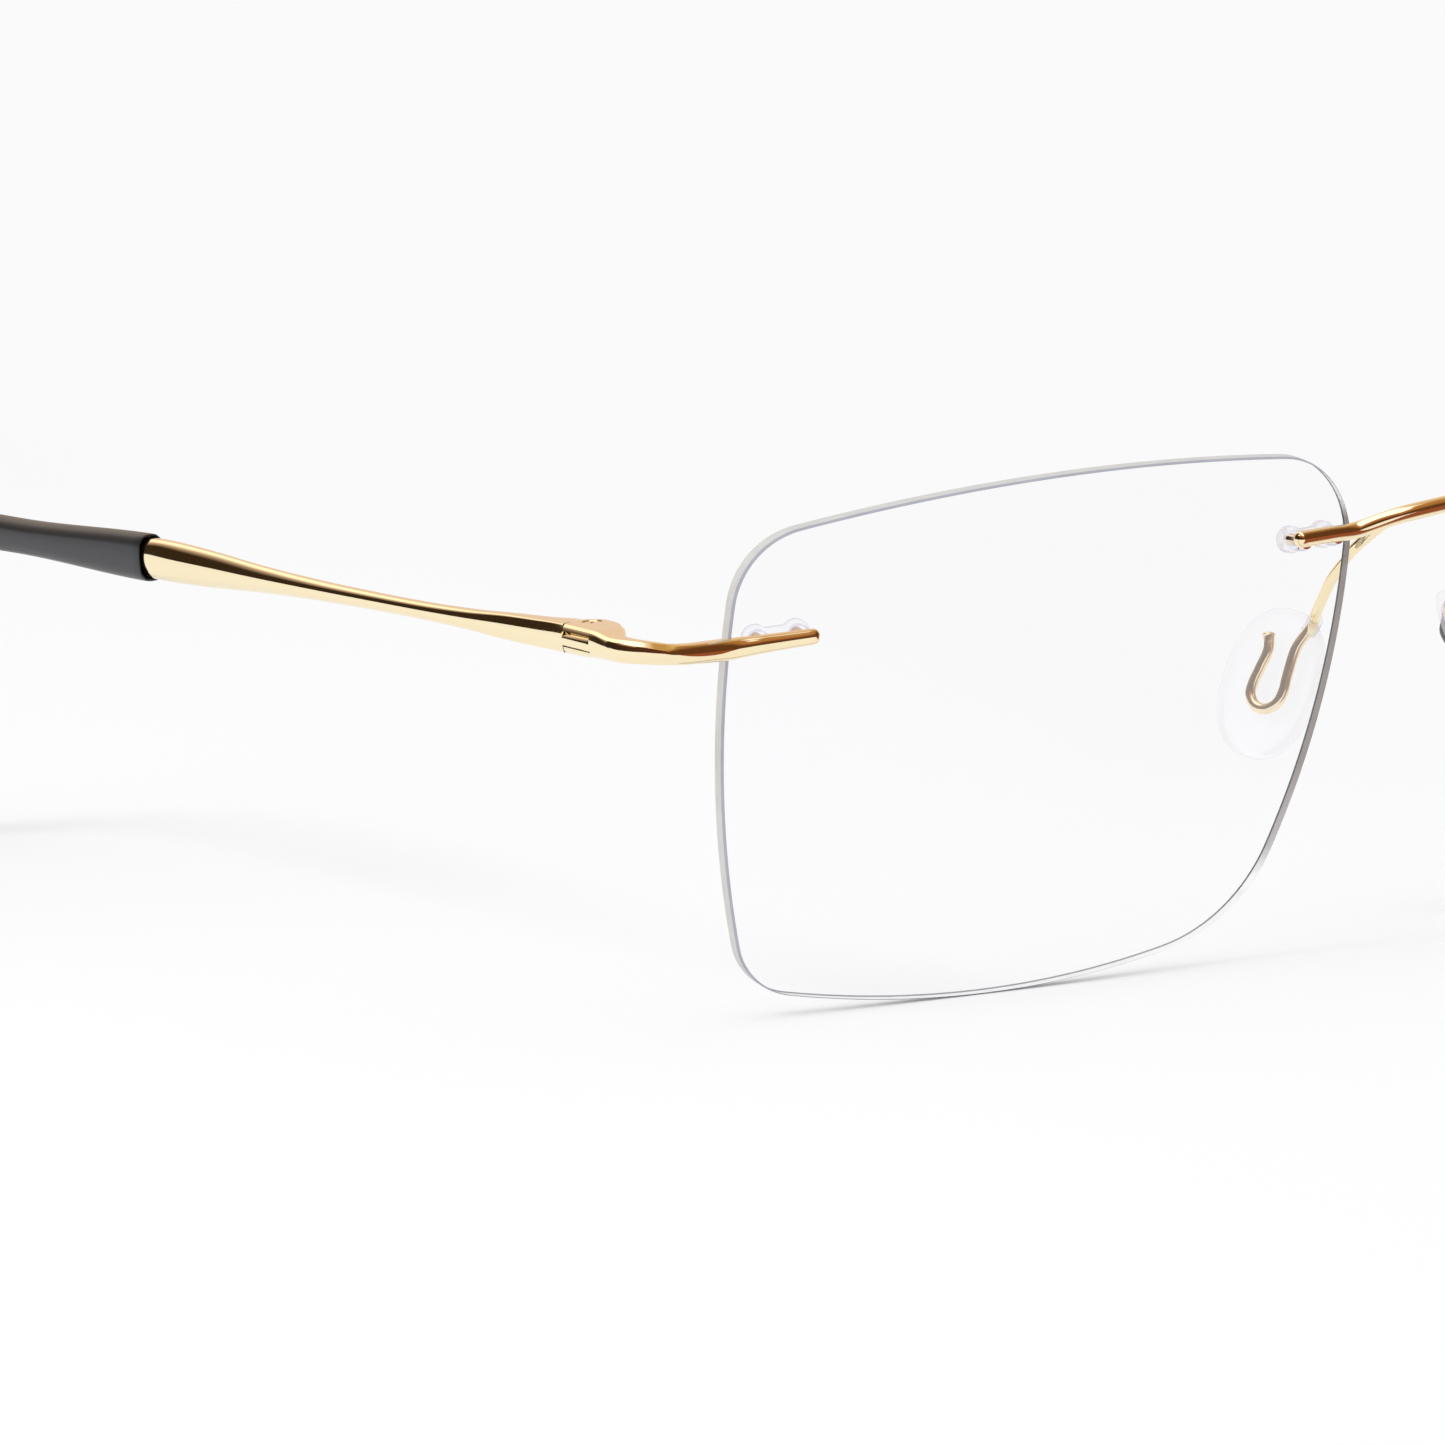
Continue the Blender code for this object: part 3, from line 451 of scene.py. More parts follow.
def gold_material():
    """Polished plated metal: pale yellow gold with very fine wipe marks."""
    nodes = Nodes(bpy.data.materials.new("polished_gold"))
    squeezed = nodes.output("Mapping", Vector=nodes.add("TexCoord").outputs["Object"], Scale=(1.0, 0.12, 1.0))
    wipes = nodes.noise(900.0, 2.0, squeezed)
    haze = nodes.noise(120.0)
    roughness = nodes.math("ADD", nodes.math("MULTIPLY", haze, 0.05), 0.035)
    bump = nodes.output("Bump", Strength=0.012, Distance=0.00005, Height=wipes)
    tone = nodes.mix_colour(haze, (0.985, 0.84, 0.55, 1), (1.0, 0.87, 0.59, 1))
    return nodes.finish(nodes.output("BsdfPrincipled", Base_Color=tone, Metallic=1.0, Roughness=roughness,
                                     Normal=bump))


def black_material():
    """Satin black acetate sleeve with a fine, soft grain."""
    nodes = Nodes(bpy.data.materials.new("satin_black"))
    bump = nodes.output("Bump", Strength=0.02, Distance=0.00004, Height=nodes.noise(1400.0, 2.0))
    roughness = nodes.math("ADD", nodes.math("MULTIPLY", nodes.noise(60.0), 0.08), 0.3)
    tone = (0.020, 0.021, 0.025, 1)
    return nodes.finish(nodes.output("BsdfPrincipled", Base_Color=tone, Roughness=roughness, Normal=bump,
                                     Specular_IOR_Level=0.4))


def clear_material(name, body, rim, rim_shade_power, gloss=0.0, gloss_colour=(1.0, 1.0, 1.0), roughness=0.02,
                   milk=0.0):
    """Clear plastic without refraction: a painted shade darkens it towards its rim, and it mirrors the studio
    a little.
    """
    nodes = Nodes(bpy.data.materials.new(name))
    # Painted shade: the tint darkens where the surface turns away from view.
    facing = nodes.put(nodes.add("LayerWeight"), Blend=0.5).outputs["Facing"]
    edge = nodes.math("POWER", facing, rim_shade_power)
    specks = nodes.math("ADD", nodes.math("MULTIPLY", nodes.noise(500.0), 0.3), 0.85)
    edge = nodes.math("MULTIPLY", edge, specks, clamp=True)
    tint = nodes.mix_colour(edge, (*body, 1), (*rim, 1))
    through = nodes.output("BsdfTransparent", Color=tint)
    mirror = nodes.output("BsdfGlossy", Color=(*gloss_colour, 1), Roughness=roughness)
    share = nodes.math("MULTIPLY", nodes.output("Fresnel", IOR=1.5), gloss, clamp=True)
    white = nodes.output("BsdfDiffuse", Color=(0.98, 0.98, 1.0, 1))
    seen = nodes.mix_shader(milk, nodes.mix_shader(share, through, mirror), white)
    return nodes.finish_clear(seen, (0.95, 0.95, 0.96))


def glass_material():
    """Lens faces: they bend what is seen through them, mirror a trace of the studio and let light through.

    The index is lower than real glass has, which keeps the view through the lens nearly straight.
    """
    nodes = Nodes(bpy.data.materials.new("clear_lens"))
    bent = nodes.output("BsdfRefraction", Color=(0.996, 0.996, 0.998, 1), Roughness=0.0, IOR=1.13)
    straight = nodes.output("BsdfTransparent", Color=(0.99, 0.99, 0.992, 1))
    coating = nodes.mix_colour(nodes.noise(20.0), (0.80, 0.76, 1.0, 1), (0.84, 0.80, 1.0, 1))
    mirror = nodes.output("BsdfGlossy", Color=coating, Roughness=0.0)
    from_front = nodes.math("SUBTRACT", 1.0, nodes.add("NewGeometry").outputs["Backfacing"])
    faint = nodes.math("MULTIPLY", nodes.output("Fresnel", IOR=1.5), 0.1)
    seen = nodes.mix_shader(nodes.math("MULTIPLY", faint, from_front, clamp=True), bent, mirror)
    path = nodes.add("LightPath").outputs
    lit = nodes.math("MAXIMUM", path["Is Shadow Ray"], path["Is Diffuse Ray"])
    return nodes.finish(nodes.mix_shader(lit, seen, straight))


def ground_with_painted_shade(name, outside, inside, lit_top_bottom_inside):
    """Ground glass with painted shade: one grey from outside, a darker painted shade through the lens,
    painted lighter on top and underneath.
    """
    nodes = Nodes(bpy.data.materials.new(name))
    geometry = nodes.add("NewGeometry").outputs
    grind = nodes.math("ADD", nodes.math("MULTIPLY", nodes.noise(700.0, 4.0), 0.24), 0.88)
    rise = nodes.put(nodes.add("SeparateXYZ"), Vector=geometry["Normal"]).outputs[2]
    slope = nodes.math("ABSOLUTE", nodes.math("SUBTRACT", rise, 0.1))
    # Painted light and shade: through the lens the edge is painted lighter where it faces up or down and
    # darker on its sides.
    within = nodes.mix_colour(nodes.fade(slope, 0.25, 4.0), (*inside, 1), (*lit_top_bottom_inside, 1))
    colour = nodes.mix_colour(geometry["Backfacing"], (*outside, 1), within)
    ground = nodes.output("BsdfDiffuse", Color=nodes.mix_colour(1.0, colour, grind, "MULTIPLY"))
    return nodes.finish_clear(ground, (0.45, 0.45, 0.46))


GOLD = gold_material()
BLACK = black_material()
LENS_FACE = glass_material()
# Painted shade on the lens edge: darker through the lens and lighter on top and underneath, with the bevels
# painted darker than the edge.
LENS_EDGE = ground_with_painted_shade("lens_edge", (0.64, 0.63, 0.61), (0.34, 0.31, 0.30), (0.90, 0.90, 0.90))
LENS_BEVEL_PAINTED_SHADE = ground_with_painted_shade("lens_bevel", (0.42, 0.42, 0.48), (0.15, 0.165, 0.16), (0.42, 0.42, 0.43))
# The rim colours below are painted shade towards each part's outline.
HOLE_WALL = clear_material("hole_wall", (0.97, 0.97, 0.98), (0.90, 0.89, 0.95), rim_shade_power=2.0)
SLEEVE = clear_material("clear_sleeve", (0.985, 0.985, 0.99), (0.80, 0.78, 0.88), rim_shade_power=2.6,
                        gloss=0.22, gloss_colour=(1.0, 0.98, 1.0), roughness=0.05)
SILICONE = clear_material("clear_silicone", (0.996, 0.995, 0.998), (0.93, 0.93, 0.96), rim_shade_power=4.0,
                          gloss=0.1, roughness=0.15, milk=0.16)


# ---- Pieces


def new_piece(name, body, finishes, mirror=1, sharp=SHARP, finish_of=None):
    """A mesh object in metres, mirrored in x where mirror is -1.

    finish_of gives the faces it numbers another finish than the first.
    """
    vertices, faces = body
    mesh = bpy.data.meshes.new(name)
    mesh.from_pydata([(v.x * mirror * MM, (v.y - ORIGIN_Y) * MM, v.z * MM) for v in vertices], [], faces)
    for finish in finishes:
        mesh.materials.append(finish)
    for index, finish in (finish_of or {}).items():
        mesh.polygons[index].material_index = finish
    shape = bmesh.new()
    shape.from_mesh(mesh)
    bmesh.ops.recalc_face_normals(shape, faces=shape.faces)
    if shape.calc_volume(signed=True) < 0:
        bmesh.ops.reverse_faces(shape, faces=shape.faces)
    shape.to_mesh(mesh)
    shape.free()
    mesh.shade_smooth()
    mesh.set_sharp_from_angle(angle=radians(sharp))
    obj = bpy.data.objects.new(name, mesh)
    bpy.context.scene.collection.objects.link(obj)
    return obj


def combine(target, operation, body, mirror, sharp=SHARP, finish=0):
    """Joins a body to the target, or cuts it away. The cut faces take the target's finish of that number."""
    looks = list(target.data.materials)
    finish_of = {face: finish for face in range(len(body[1]))}
    tool = new_piece(target.name + "_tool", body, looks, mirror, finish_of=finish_of)
    step = target.modifiers.new("tool", "BOOLEAN")
    step.operation = operation
    step.object = tool
    bpy.context.view_layer.update()
    graph = bpy.context.evaluated_depsgraph_get()
    made = bpy.data.meshes.new_from_object(target.evaluated_get(graph))
    target.modifiers.clear()
    old = target.data
    target.data = made
    made.name = target.name
    bpy.data.meshes.remove(old)
    bpy.data.objects.remove(tool, do_unlink=True)
    made.shade_smooth()
    made.set_sharp_from_angle(angle=radians(sharp))


def stand_for(obj, node, body="front"):
    """Puts the object on a body in place of a CAD node."""
    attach(obj, body)
    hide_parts(node)


# ---- Lens


def bow_circle(start, end, bow):
    """Centre and radius of the circle through two corners that stands out by the bow between them."""
    chord = end - start
    radius = (chord.length**2 / 4 + bow**2) / (2 * bow)
    left = Vector((-chord.y, chord.x)).normalized()
    return (start + end) / 2 + left * (bow - radius), radius


def fillet_centre(side, following, radius, corner):
    """Centre of the circle of this radius that touches both sides from inside, next to their corner."""
    (p, p_radius), (q, q_radius) = side, following
    a, b = p_radius - radius, q_radius - radius
    gap = (q - p).length
    reach = (gap**2 + a**2 - b**2) / (2 * gap)
    height = sqrt(a**2 - reach**2)
    direction = (q - p) / gap
    across = Vector((-direction.y, direction.x))
    options = [p + direction * reach + across * height * sign for sign in (1, -1)]
    return min(options, key=lambda option: (option - corner).length)


def arc(centre, radius, start, end, steps):
    first = atan2(start.y - centre.y, start.x - centre.x)
    turn = atan2(end.y - centre.y, end.x - centre.x) - first
    turn = (turn + pi) % (2 * pi) - pi
    angles = [first + turn * i / steps for i in range(steps)]
    return [centre + Vector((cos(angle), sin(angle))) * radius for angle in angles]


def lens_outline():
    corners = LENS_CORNERS
    sides = [bow_circle(corners[i], corners[(i + 1) % 4], LENS_BOWS[i]) for i in range(4)]
    fillets = [fillet_centre(sides[i - 1], sides[i], LENS_CORNER_RADII[i], corners[i]) for i in range(4)]

    def touch(side, fillet):
        centre, radius = side
        return centre + (fillet - centre).normalized() * radius

    outline = []
    for i in range(4):
        after = (i + 1) % 4
        start, end = touch(sides[i], fillets[i]), touch(sides[i], fillets[after])
        resume = touch(sides[after], fillets[after])
        outline += arc(*sides[i], start, end, LENS_SIDE_STEPS)
        outline += arc(fillets[after], LENS_CORNER_RADII[after], end, resume, LENS_CORNER_STEPS)
    return outline


def lens_frame():
    """The lens plane's nasal, up and front directions."""
    wrap, tilt = radians(LENS_WRAP), radians(LENS_TILT)
    nasal = Vector((cos(wrap), -sin(wrap), 0))
    front = Vector((-sin(wrap) * cos(tilt), -cos(wrap) * cos(tilt), -sin(tilt)))
    return nasal, nasal.cross(front) * -1, front


def lens_point(u, v, depth=0.0):
    """A point on the lens's curved front, or a depth behind it."""
    nasal, rise, front = lens_frame()
    sag = BASE_CURVE_RADIUS - sqrt(BASE_CURVE_RADIUS**2 - u**2 - v**2)
    return LENS_CENTRE + nasal * u + rise * v - front * (sag + depth)


def mount_place(mount):
    """Where a mount sits: x along its arm towards the nose, z straight out of the front of the lens."""
    u, v, slope = mount
    nasal, rise, front = lens_frame()
    origin = lens_point(u, v)
    sphere_centre = lens_point(0, 0) - front * BASE_CURVE_RADIUS
    direction = nasal * cos(radians(slope)) + rise * sin(radians(slope))
    return placement(origin, direction, origin - sphere_centre)


def post_places(mount):
    """Where a mount's two posts stand: first the one nearer to the ear, then the one nearer to the nose."""
    shift = POST_SPACING / 2
    return [mount_place(mount) @ Matrix.Translation((x, 0, 0)) for x in (-shift, shift)]


def inset_outline(outline, inset):
    """The outline moved in by a small distance, along its normals."""
    count = len(outline)
    moved = []
    for i in range(count):
        tangent = (outline[(i + 1) % count] - outline[i - 1]).normalized()
        moved.append(outline[i] + Vector((tangent.y, -tangent.x)) * inset)
    return moved


def lens(side, mirror):
    """Rings from the middle of the front, round the bevelled edge, to the middle of the back."""
    outline = lens_outline()
    count = len(outline)
    normals = [(a - b).normalized() for a, b in zip(outline, inset_outline(outline, 1.0))]
    wide = [p + n * LENS_FLARE * min(max(n.x - n.y, 0), 1) for p, n in zip(outline, normals)]
    front_rim = inset_outline(wide, LENS_BEVEL * 0.5)
    back_rim = inset_outline(outline, LENS_BACK_BEVEL)
    scales = [i / LENS_RINGS for i in range(1, LENS_RINGS)] + [1.0]
    front = [([p * scale for p in front_rim], 0.0) for scale in scales]
    edge = [(wide, LENS_BEVEL), (outline, LENS_THICKNESS - LENS_BACK_BEVEL)]
    back = [([p * scale for p in back_rim], LENS_THICKNESS) for scale in reversed(scales)]
    rings = [[lens_point(p.x, p.y, depth) for p in row] for row, depth in front + edge + back]
    vertices, faces = skin(rings)
    faces = faces[2:]
    finishes = {}
    for band, finish in enumerate((2, 1, 2)):
        first = (len(front) - 1 + band) * count
        finishes.update({face: finish for face in range(first, first + count)})
    for first, depth in ((0, 0.0), (len(vertices) - count, LENS_THICKNESS)):
        middle = len(vertices)
        vertices.append(lens_point(0, 0, depth))
        faces += [[first + i, first + (i + 1) % count, middle] for i in range(count)]
    looks = [LENS_FACE, LENS_EDGE, LENS_BEVEL_PAINTED_SHADE, HOLE_WALL]
    obj = new_piece(f"{side}_lens_glass", (vertices, faces), looks, mirror, LENS_SHARP, finishes)
    for mount in (TEMPORAL_MOUNT, NASAL_MOUNT):
        for place in post_places(mount):
            hole = cylinder(place, LENS_HOLE_RADIUS, -LENS_THICKNESS - PAST, PAST, 32)
            combine(obj, "DIFFERENCE", hole, mirror, LENS_SHARP, finish=3)
    stand_for(obj, f"{side}_lens")


# ---- Compression mounts


def dumbbell(grow):
    """Two round lobes and the narrower web between them, as one outline."""
    shift = POST_SPACING / 2
    radius, web = SLEEVE_LOBE_RADIUS + grow, SLEEVE_WEB_HALF_HEIGHT + grow
    reach_x = sqrt((radius + SLEEVE_BLEND) ** 2 - (web + SLEEVE_BLEND) ** 2)
    open_angle = atan2(web + SLEEVE_BLEND, reach_x)
    outline = []
    for sign, centre, facing in ((1, shift, 0.0), (-1, -shift, pi)):
        reach = pi - open_angle
        for i in range(LOBE_STEPS + 1):
            angle = facing - reach + 2 * reach * i / LOBE_STEPS
            outline.append((centre + radius * cos(angle), radius * sin(angle)))
        near, far, level = centre - sign * reach_x, -centre + sign * reach_x, (web + SLEEVE_BLEND) * sign
        for k in range(1, BLEND_STEPS + 1):
            a = (pi / 2 - open_angle) * (1 - k / BLEND_STEPS)
            outline.append((near + SLEEVE_BLEND * sin(a) * sign, level - SLEEVE_BLEND * cos(a) * sign))
        for k in range(BLEND_STEPS):
            a = (pi / 2 - open_angle) * k / BLEND_STEPS
            outline.append((far - SLEEVE_BLEND * sin(a) * sign, level - SLEEVE_BLEND * cos(a) * sign))
    return outline


def sleeve(side, site, mount, mirror):
    """A double plug behind the lens, with a tube round each post."""
    place = mount_place(mount)
    back = -LENS_THICKNESS - SLEEVE_REST_GAP
    far = back - SLEEVE_BACK_THICKNESS
    layers = [(far + z, grow) for z, grow in SLEEVE_BACK_ROUND]
    layers += [(back + z, grow) for z, grow in SLEEVE_FRONT_ROUND]
    rings = [[place @ Vector((x, y, z)) for x, y in dumbbell(grow)] for z, grow in layers]
    obj = new_piece(f"{side}_{site}_plug", skin(rings), [SLEEVE], mirror)
    for at in post_places(mount):
        tube = turned(at, (*SLEEVE_TUBE_NOSE, (SLEEVE_TUBE_RADIUS, back - SLEEVE_TUBE_ROOT)), 32)
        bore = cylinder(at, SLEEVE_BORE_RADIUS, back - SLEEVE_BORE_DEPTH, PAST, 24)
        combine(obj, "UNION", tube, mirror)
        combine(obj, "DIFFERENCE", bore, mirror)
    stand_for(obj, f"{side}_{site}_sleeve")


def posts(side, site, mount, mirror):
    """Each post ends in a small chamfer behind the lens and in a braze fillet on its arm in front.

    The outer post of each mount is the one nearer to the lens's edge.
    """
    labels = ("outer", "inner") if site == "temporal" else ("inner", "outer")
    for label, place in zip(labels, post_places(mount)):
        end = -LENS_THICKNESS - POST_DEPTH
        profile = (
            (POST_RADIUS - POST_CHAMFER, end),
            (POST_RADIUS, end + POST_CHAMFER),
            (POST_RADIUS, 0.0),
            (POST_RADIUS + POST_FILLET, POST_REACH),
        )
        obj = new_piece(f"{side}_{site}_pin_{label}", turned(place, profile, 28), [GOLD], mirror)
        stand_for(obj, f"{side}_{site}_post_{label}")


# ---- Bridge, pad arms and nose pads


def bridge_line():
    """Half of the bar's middle line, from its end on the right lens to the middle of the nose."""
    place = mount_place(NASAL_MOUNT)
    rise = BRIDGE_RADIUS + LENS_REST_GAP
    on_lens = [place @ Vector((x, BRIDGE_RISE, rise)) for x in (-BRIDGE_ROD_END, 0, BRIDGE_LENS_EDGE)]
    return along([*on_lens, BRIDGE_SHOULDER, BRIDGE_CENTRE], 12)


def bridge():
    half = bridge_line()
    line = half + [Vector((-point.x, point.y, point.z)) for point in reversed(half[:-1])]
    nose = BRIDGE_RADIUS * BRIDGE_NOSE
    rings = loft(line, [circle(BRIDGE_RADIUS, 36)] * len(line), nose_start=nose, nose_end=nose)
    obj = new_piece("bridge_rod", skin(rings), [GOLD], sharp=ROUND_SHARP)
    stand_for(obj, "bridge_bar")


def pad_axes():
    """Across the pad, down the pad, and out of its face towards the nose."""
    splay, slope = radians(PAD_SPLAY), radians(PAD_SLOPE)
    inward = Vector((cos(splay), sin(splay), 0))
    across = Vector((-sin(splay), cos(splay), 0))
    down = -sin(slope) * inward - cos(slope) * Vector((0, 0, 1))
    face = cos(slope) * inward - sin(slope) * Vector((0, 0, 1))
    return across, down, face


def pad_point(w, l, depth=0.0):
    """A point so far across the pad, down it and out of its face."""
    across, down, face = pad_axes()
    return PAD_CENTRE + across * w + down * l + face * depth


def pad_arm(side, mirror):
    """The wire from the bar to its U in the pad, pressed a little wider at its end."""
    line = along([*PAD_ARM_TURNS, *(pad_point(w, l) for w, l in PAD_WIRE_TURNS)], 10)
    outlines = []
    for i in range(len(line)):
        foot = max(0.0, 1 - (len(line) - 1 - i) / PAD_FOOT_STEPS)
        outlines.append(circle(PAD_WIRE_RADIUS + PAD_FOOT_GROWTH * foot, WIRE_POINTS))
    rings = loft(line, outlines, up=pad_axes()[2], nose_end=PAD_WIRE_NOSE)
    obj = new_piece(f"{side}_pad_wire", skin(rings), [GOLD], mirror, ROUND_SHARP)
    stand_for(obj, f"{side}_pad_arm")


def pad_oval(scale):
    """The pad's outline, a slightly squared oval, at a share of its full size."""
    turn = radians(PAD_OVAL_TURN)
    w, l = PAD_OVAL_CENTRE
    points = []
    for i in range(PAD_POINTS):
        c, s = cos(2 * pi * i / PAD_POINTS), sin(2 * pi * i / PAD_POINTS)
        a = abs(c) ** (2 / PAD_SQUARENESS) * PAD_HALF_WIDTH * (1 if c >= 0 else -1) * scale
        b = abs(s) ** (2 / PAD_SQUARENESS) * PAD_HALF_LENGTH * (1 if s >= 0 else -1) * scale
        points.append((w + a * cos(turn) - b * sin(turn), l + a * sin(turn) + b * cos(turn)))
    return points


def nose_pad(side, mirror):
    """The soft pad, and a clear collar round the wire where it goes in."""
    rings = [[pad_point(w, l, depth) for w, l in pad_oval(scale)] for depth, scale in PAD_FACES]
    obj = new_piece(f"{side}_pad_body", skin(rings), [SILICONE], mirror, PAD_SHARP)
    stand_for(obj, f"{side}_nose_pad")
    wire = along([PAD_ARM_TURNS[-1], *(pad_point(w, l) for w, l in PAD_WIRE_TURNS)], 8)
    line = wire[5:12]
    rings = loft(line, [circle(PAD_COLLAR_RADIUS, WIRE_POINTS)] * len(line), up=pad_axes()[2])
    collar = new_piece(f"{side}_pad_collar", skin(rings), [SLEEVE], mirror)
    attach(collar, "front")


# ---- End pieces and hinge

HINGE = Matrix.Translation((PIVOT.x, PIVOT.y, 0.0))
BELOW, ABOVE = HINGE_BOTTOM_Z - PAST, HINGE_TOP_Z + PAST


def fork_inner_x(y):
    """The block's inner side: it widens smoothly towards the pivot, and is round behind it."""
    widest = PIVOT.x + FORK_RADIUS
    if y >= PIVOT.y:
        return PIVOT.x + sqrt(max(FORK_RADIUS**2 - (y - PIVOT.y) ** 2, 0))
    narrow = HINGE_OUTER_X + ARM_WIDTH
    start, end = FORK_CURVE
    t = min(max((y - start) / (end - start), 0), 1)
    return narrow + (widest - narrow) * t * t * (3 - 2 * t)


def eased(y, start):
    """0 at the start and 1 where the block begins, with a smooth step between."""
    t = min(max((start - y) / (start - BLOCK_START_Y), 0), 1)
    return t * t * (3 - 2 * t)


def block_section(y):
    """The block's middle, half width and half height. It is tallest at the hinge."""
    (fall_y, fall), (lift_y, lift) = BLOCK_FALL, BLOCK_LIFT
    low, high = HINGE_BOTTOM_Z + lift * eased(y, lift_y), HINGE_TOP_Z - fall * eased(y, fall_y)
    half_width = (fork_inner_x(y) - HINGE_OUTER_X) / 2
    return Vector((HINGE_OUTER_X + half_width, y, (low + high) / 2)), half_width, (high - low) / 2


def end_piece_rings():
    """Round arm on the lens, a flat-topped corner with a crisp bevel, then the square hinge block."""
    place = mount_place(TEMPORAL_MOUNT)
    keys = []
    for x, radius, *rest in ARM_KEYS:
        keys.append((place @ Vector((x, 0, radius + LENS_REST_GAP)), radius, radius, *rest))
    keys += CORNER_KEYS
    keys.append((*block_section(BLOCK_START_Y), BLOCK_BOWS[2], 0.0, BLOCK_CORNER))
    line = along([key[0] for key in keys], KEY_STEPS)
    sizes = along([key[1:] for key in keys], KEY_STEPS)
    outlines = []
    for point, (half_width, half_height, bow, top, corner) in zip(line, sizes):
        square = bowed(half_width, half_height, (bow * 0.6, top, bow, 0.12 + top), corner, flat=1.0)
        roundness = min(max((point.x - BEVEL_END_X) / BEVEL_FADE + 1, 0), 1)
        outlines.append(mixed(square, round_section((half_width + half_height) / 2), roundness))
    rings = loft(line, outlines, nose_start=ARM_TIP_RADIUS * 0.75)[:-1]
    back_y = PIVOT.y + FORK_RADIUS
    for i in range(BLOCK_STEPS + 1):
        y = BLOCK_START_Y + (back_y - 0.004 - BLOCK_START_Y) * sin(pi / 2 * i / BLOCK_STEPS)
        centre, half_width, half_height = block_section(y)
        square = bowed(half_width, half_height, BLOCK_BOWS, BLOCK_CORNER, flat=1.0)
        rings.append([centre + Vector((a, 0, b)) for a, b in square])
    return rings


def rectangle(x_low, x_high, y_low, y_high):
    return [(x_low, y_low), (x_high, y_low), (x_high, y_high), (x_low, y_high)]


def beyond_fork():
    """In plan about the pivot, everything past the fork's slanted outer end and its round inner end."""
    seam = radians(SEAM_ANGLE)
    middle = Vector((cos(seam), sin(seam))) * FORK_RADIUS
    along_seam = Vector((-sin(seam), cos(seam)))
    outline = [tuple(middle + along_seam * 8)]
    for i in range(ARC_STEPS + 1):
        angle = seam + (radians(45) - seam) * i / ARC_STEPS
        outline.append((FORK_RADIUS * cos(angle), FORK_RADIUS * sin(angle)))
    return outline + [(6, 6), (-3, 9)]


def slot_outline():
    """In plan about the pivot: the slot for the tongue, with a longer groove for its outer strip."""
    strip = HINGE_OUTER_X - PIVOT.x + TONGUE_STRIP + SLOT_SLACK
    nose = [(-4, -SLOT_REACH), (-2.2, -SLOT_REACH), (-1.4, -SLOT_REACH + 0.05), (-1.1, -SLOT_REACH + 0.2)]
    return nose + [(strip, -SLOT_REACH + 0.5), (strip, -SLOT_BACK), (4, -SLOT_BACK), (4, 4), (-4, 4)]


def end_piece(side, mirror):
    obj = new_piece(f"{side}_end_block", skin(end_piece_rings()), [GOLD], mirror, HINGE_SHARP)
    head, mouth = SCREW_HEAD_RADIUS + HEAD_GAP, SCREW_HEAD_RADIUS + HEAD_MOUTH_GAP
    recess = (
        (head, HINGE_TOP_Z - HEAD_DEPTH),
        (head, HINGE_TOP_Z - 0.06),
        (mouth, HINGE_TOP_Z + 0.02),
        (mouth, ABOVE),
    )
    cuts = (
        prism(beyond_fork(), HINGE, BELOW, ABOVE),
        prism(slot_outline(), HINGE, SLOT_BOTTOM_Z, SLOT_TOP_Z),
        cylinder(HINGE, SCREW_HOLE_RADIUS, BELOW, ABOVE),
        turned(HINGE, recess),
    )
    for cut in cuts:
        combine(obj, "DIFFERENCE", cut, mirror, HINGE_SHARP)
    stand_for(obj, f"{side}_end_piece")


def hinge_screw(side, mirror):
    top = HINGE_TOP_Z - SCREW_SINK
    profile = (
        (SCREW_RADIUS - 0.08, HINGE_BOTTOM_Z + 0.02),
        (SCREW_RADIUS, HINGE_BOTTOM_Z + 0.1),
        (SCREW_RADIUS, top - 0.3),
        (SCREW_HEAD_RADIUS, top - 0.26),
        (SCREW_HEAD_RADIUS, top - 0.07),
        (SCREW_HEAD_RADIUS - 0.07, top - 0.015),
        (SCREW_HEAD_RADIUS - 0.2, top),
    )
    obj = new_piece(f"{side}_screw", turned(HINGE, profile), [GOLD], mirror)
    place = HINGE @ Matrix.Rotation(radians(SCREW_SLOT_TURN), 4, "Z")
    wide = SCREW_SLOT_WIDTH / 2
    slot = prism(rectangle(-2, 2, -wide, wide), place, top - SCREW_SLOT_DEPTH, top + PAST)
    combine(obj, "DIFFERENCE", slot, mirror)
    stand_for(obj, f"{side}_hinge_screw")


# ---- Temples and tips

# Distance behind the shoulder, height, width, bow of the outer face, bow of the top, corner radius
TEMPLE_KEYS = (
    (-1.65, 2.3, 2.9, 0.24, 0.0, 0.14),
    (0.0, 2.3, 2.9, 0.24, 0.0, 0.12),
    (3.0, 2.25, 2.1, 0.24, 0.03, 0.14),
    (8.0, 2.07, 1.55, 0.23, 0.05, 0.16),
    (14.0, 1.62, 1.4, 0.2, 0.08, 0.2),
    (21.0, 1.38, 1.35, 0.18, 0.1, 0.22),
    (29.0, 1.4, 1.35, 0.18, 0.11, 0.24),
    (38.0, 1.62, 1.4, 0.2, 0.15, 0.28),
    (47.0, 2.15, 1.5, 0.24, 0.24, 0.32),
    (55.0, 2.9, 1.7, 0.3, 0.3, 0.34),
    (61.0, 3.3, 1.85, 0.34, 0.3, 0.34),
    (65.0, 3.36, 1.85, 0.3, 0.26, 0.34),
    (67.4, 3.1, 1.8, 0.3, 0.26, 0.34),
)


def temple_centre(distance, width):
    """The middle of the temple's section, at a distance behind the fork. It turns outwards over the hinge."""
    y = PIVOT.y + SHOULDER + 0.05 + distance
    splayed = distance if distance > SHOULDER else (distance + SHOULDER) ** 2 / (4 * SHOULDER)
    outer_x = HINGE_OUTER_X - tan(radians(TEMPLE_SPLAY)) * splayed
    z = (HINGE_TOP_Z + HINGE_BOTTOM_Z) / 2 + tan(radians(TEMPLE_SLOPE)) * distance
    return Vector((outer_x + width / 2, y, z))


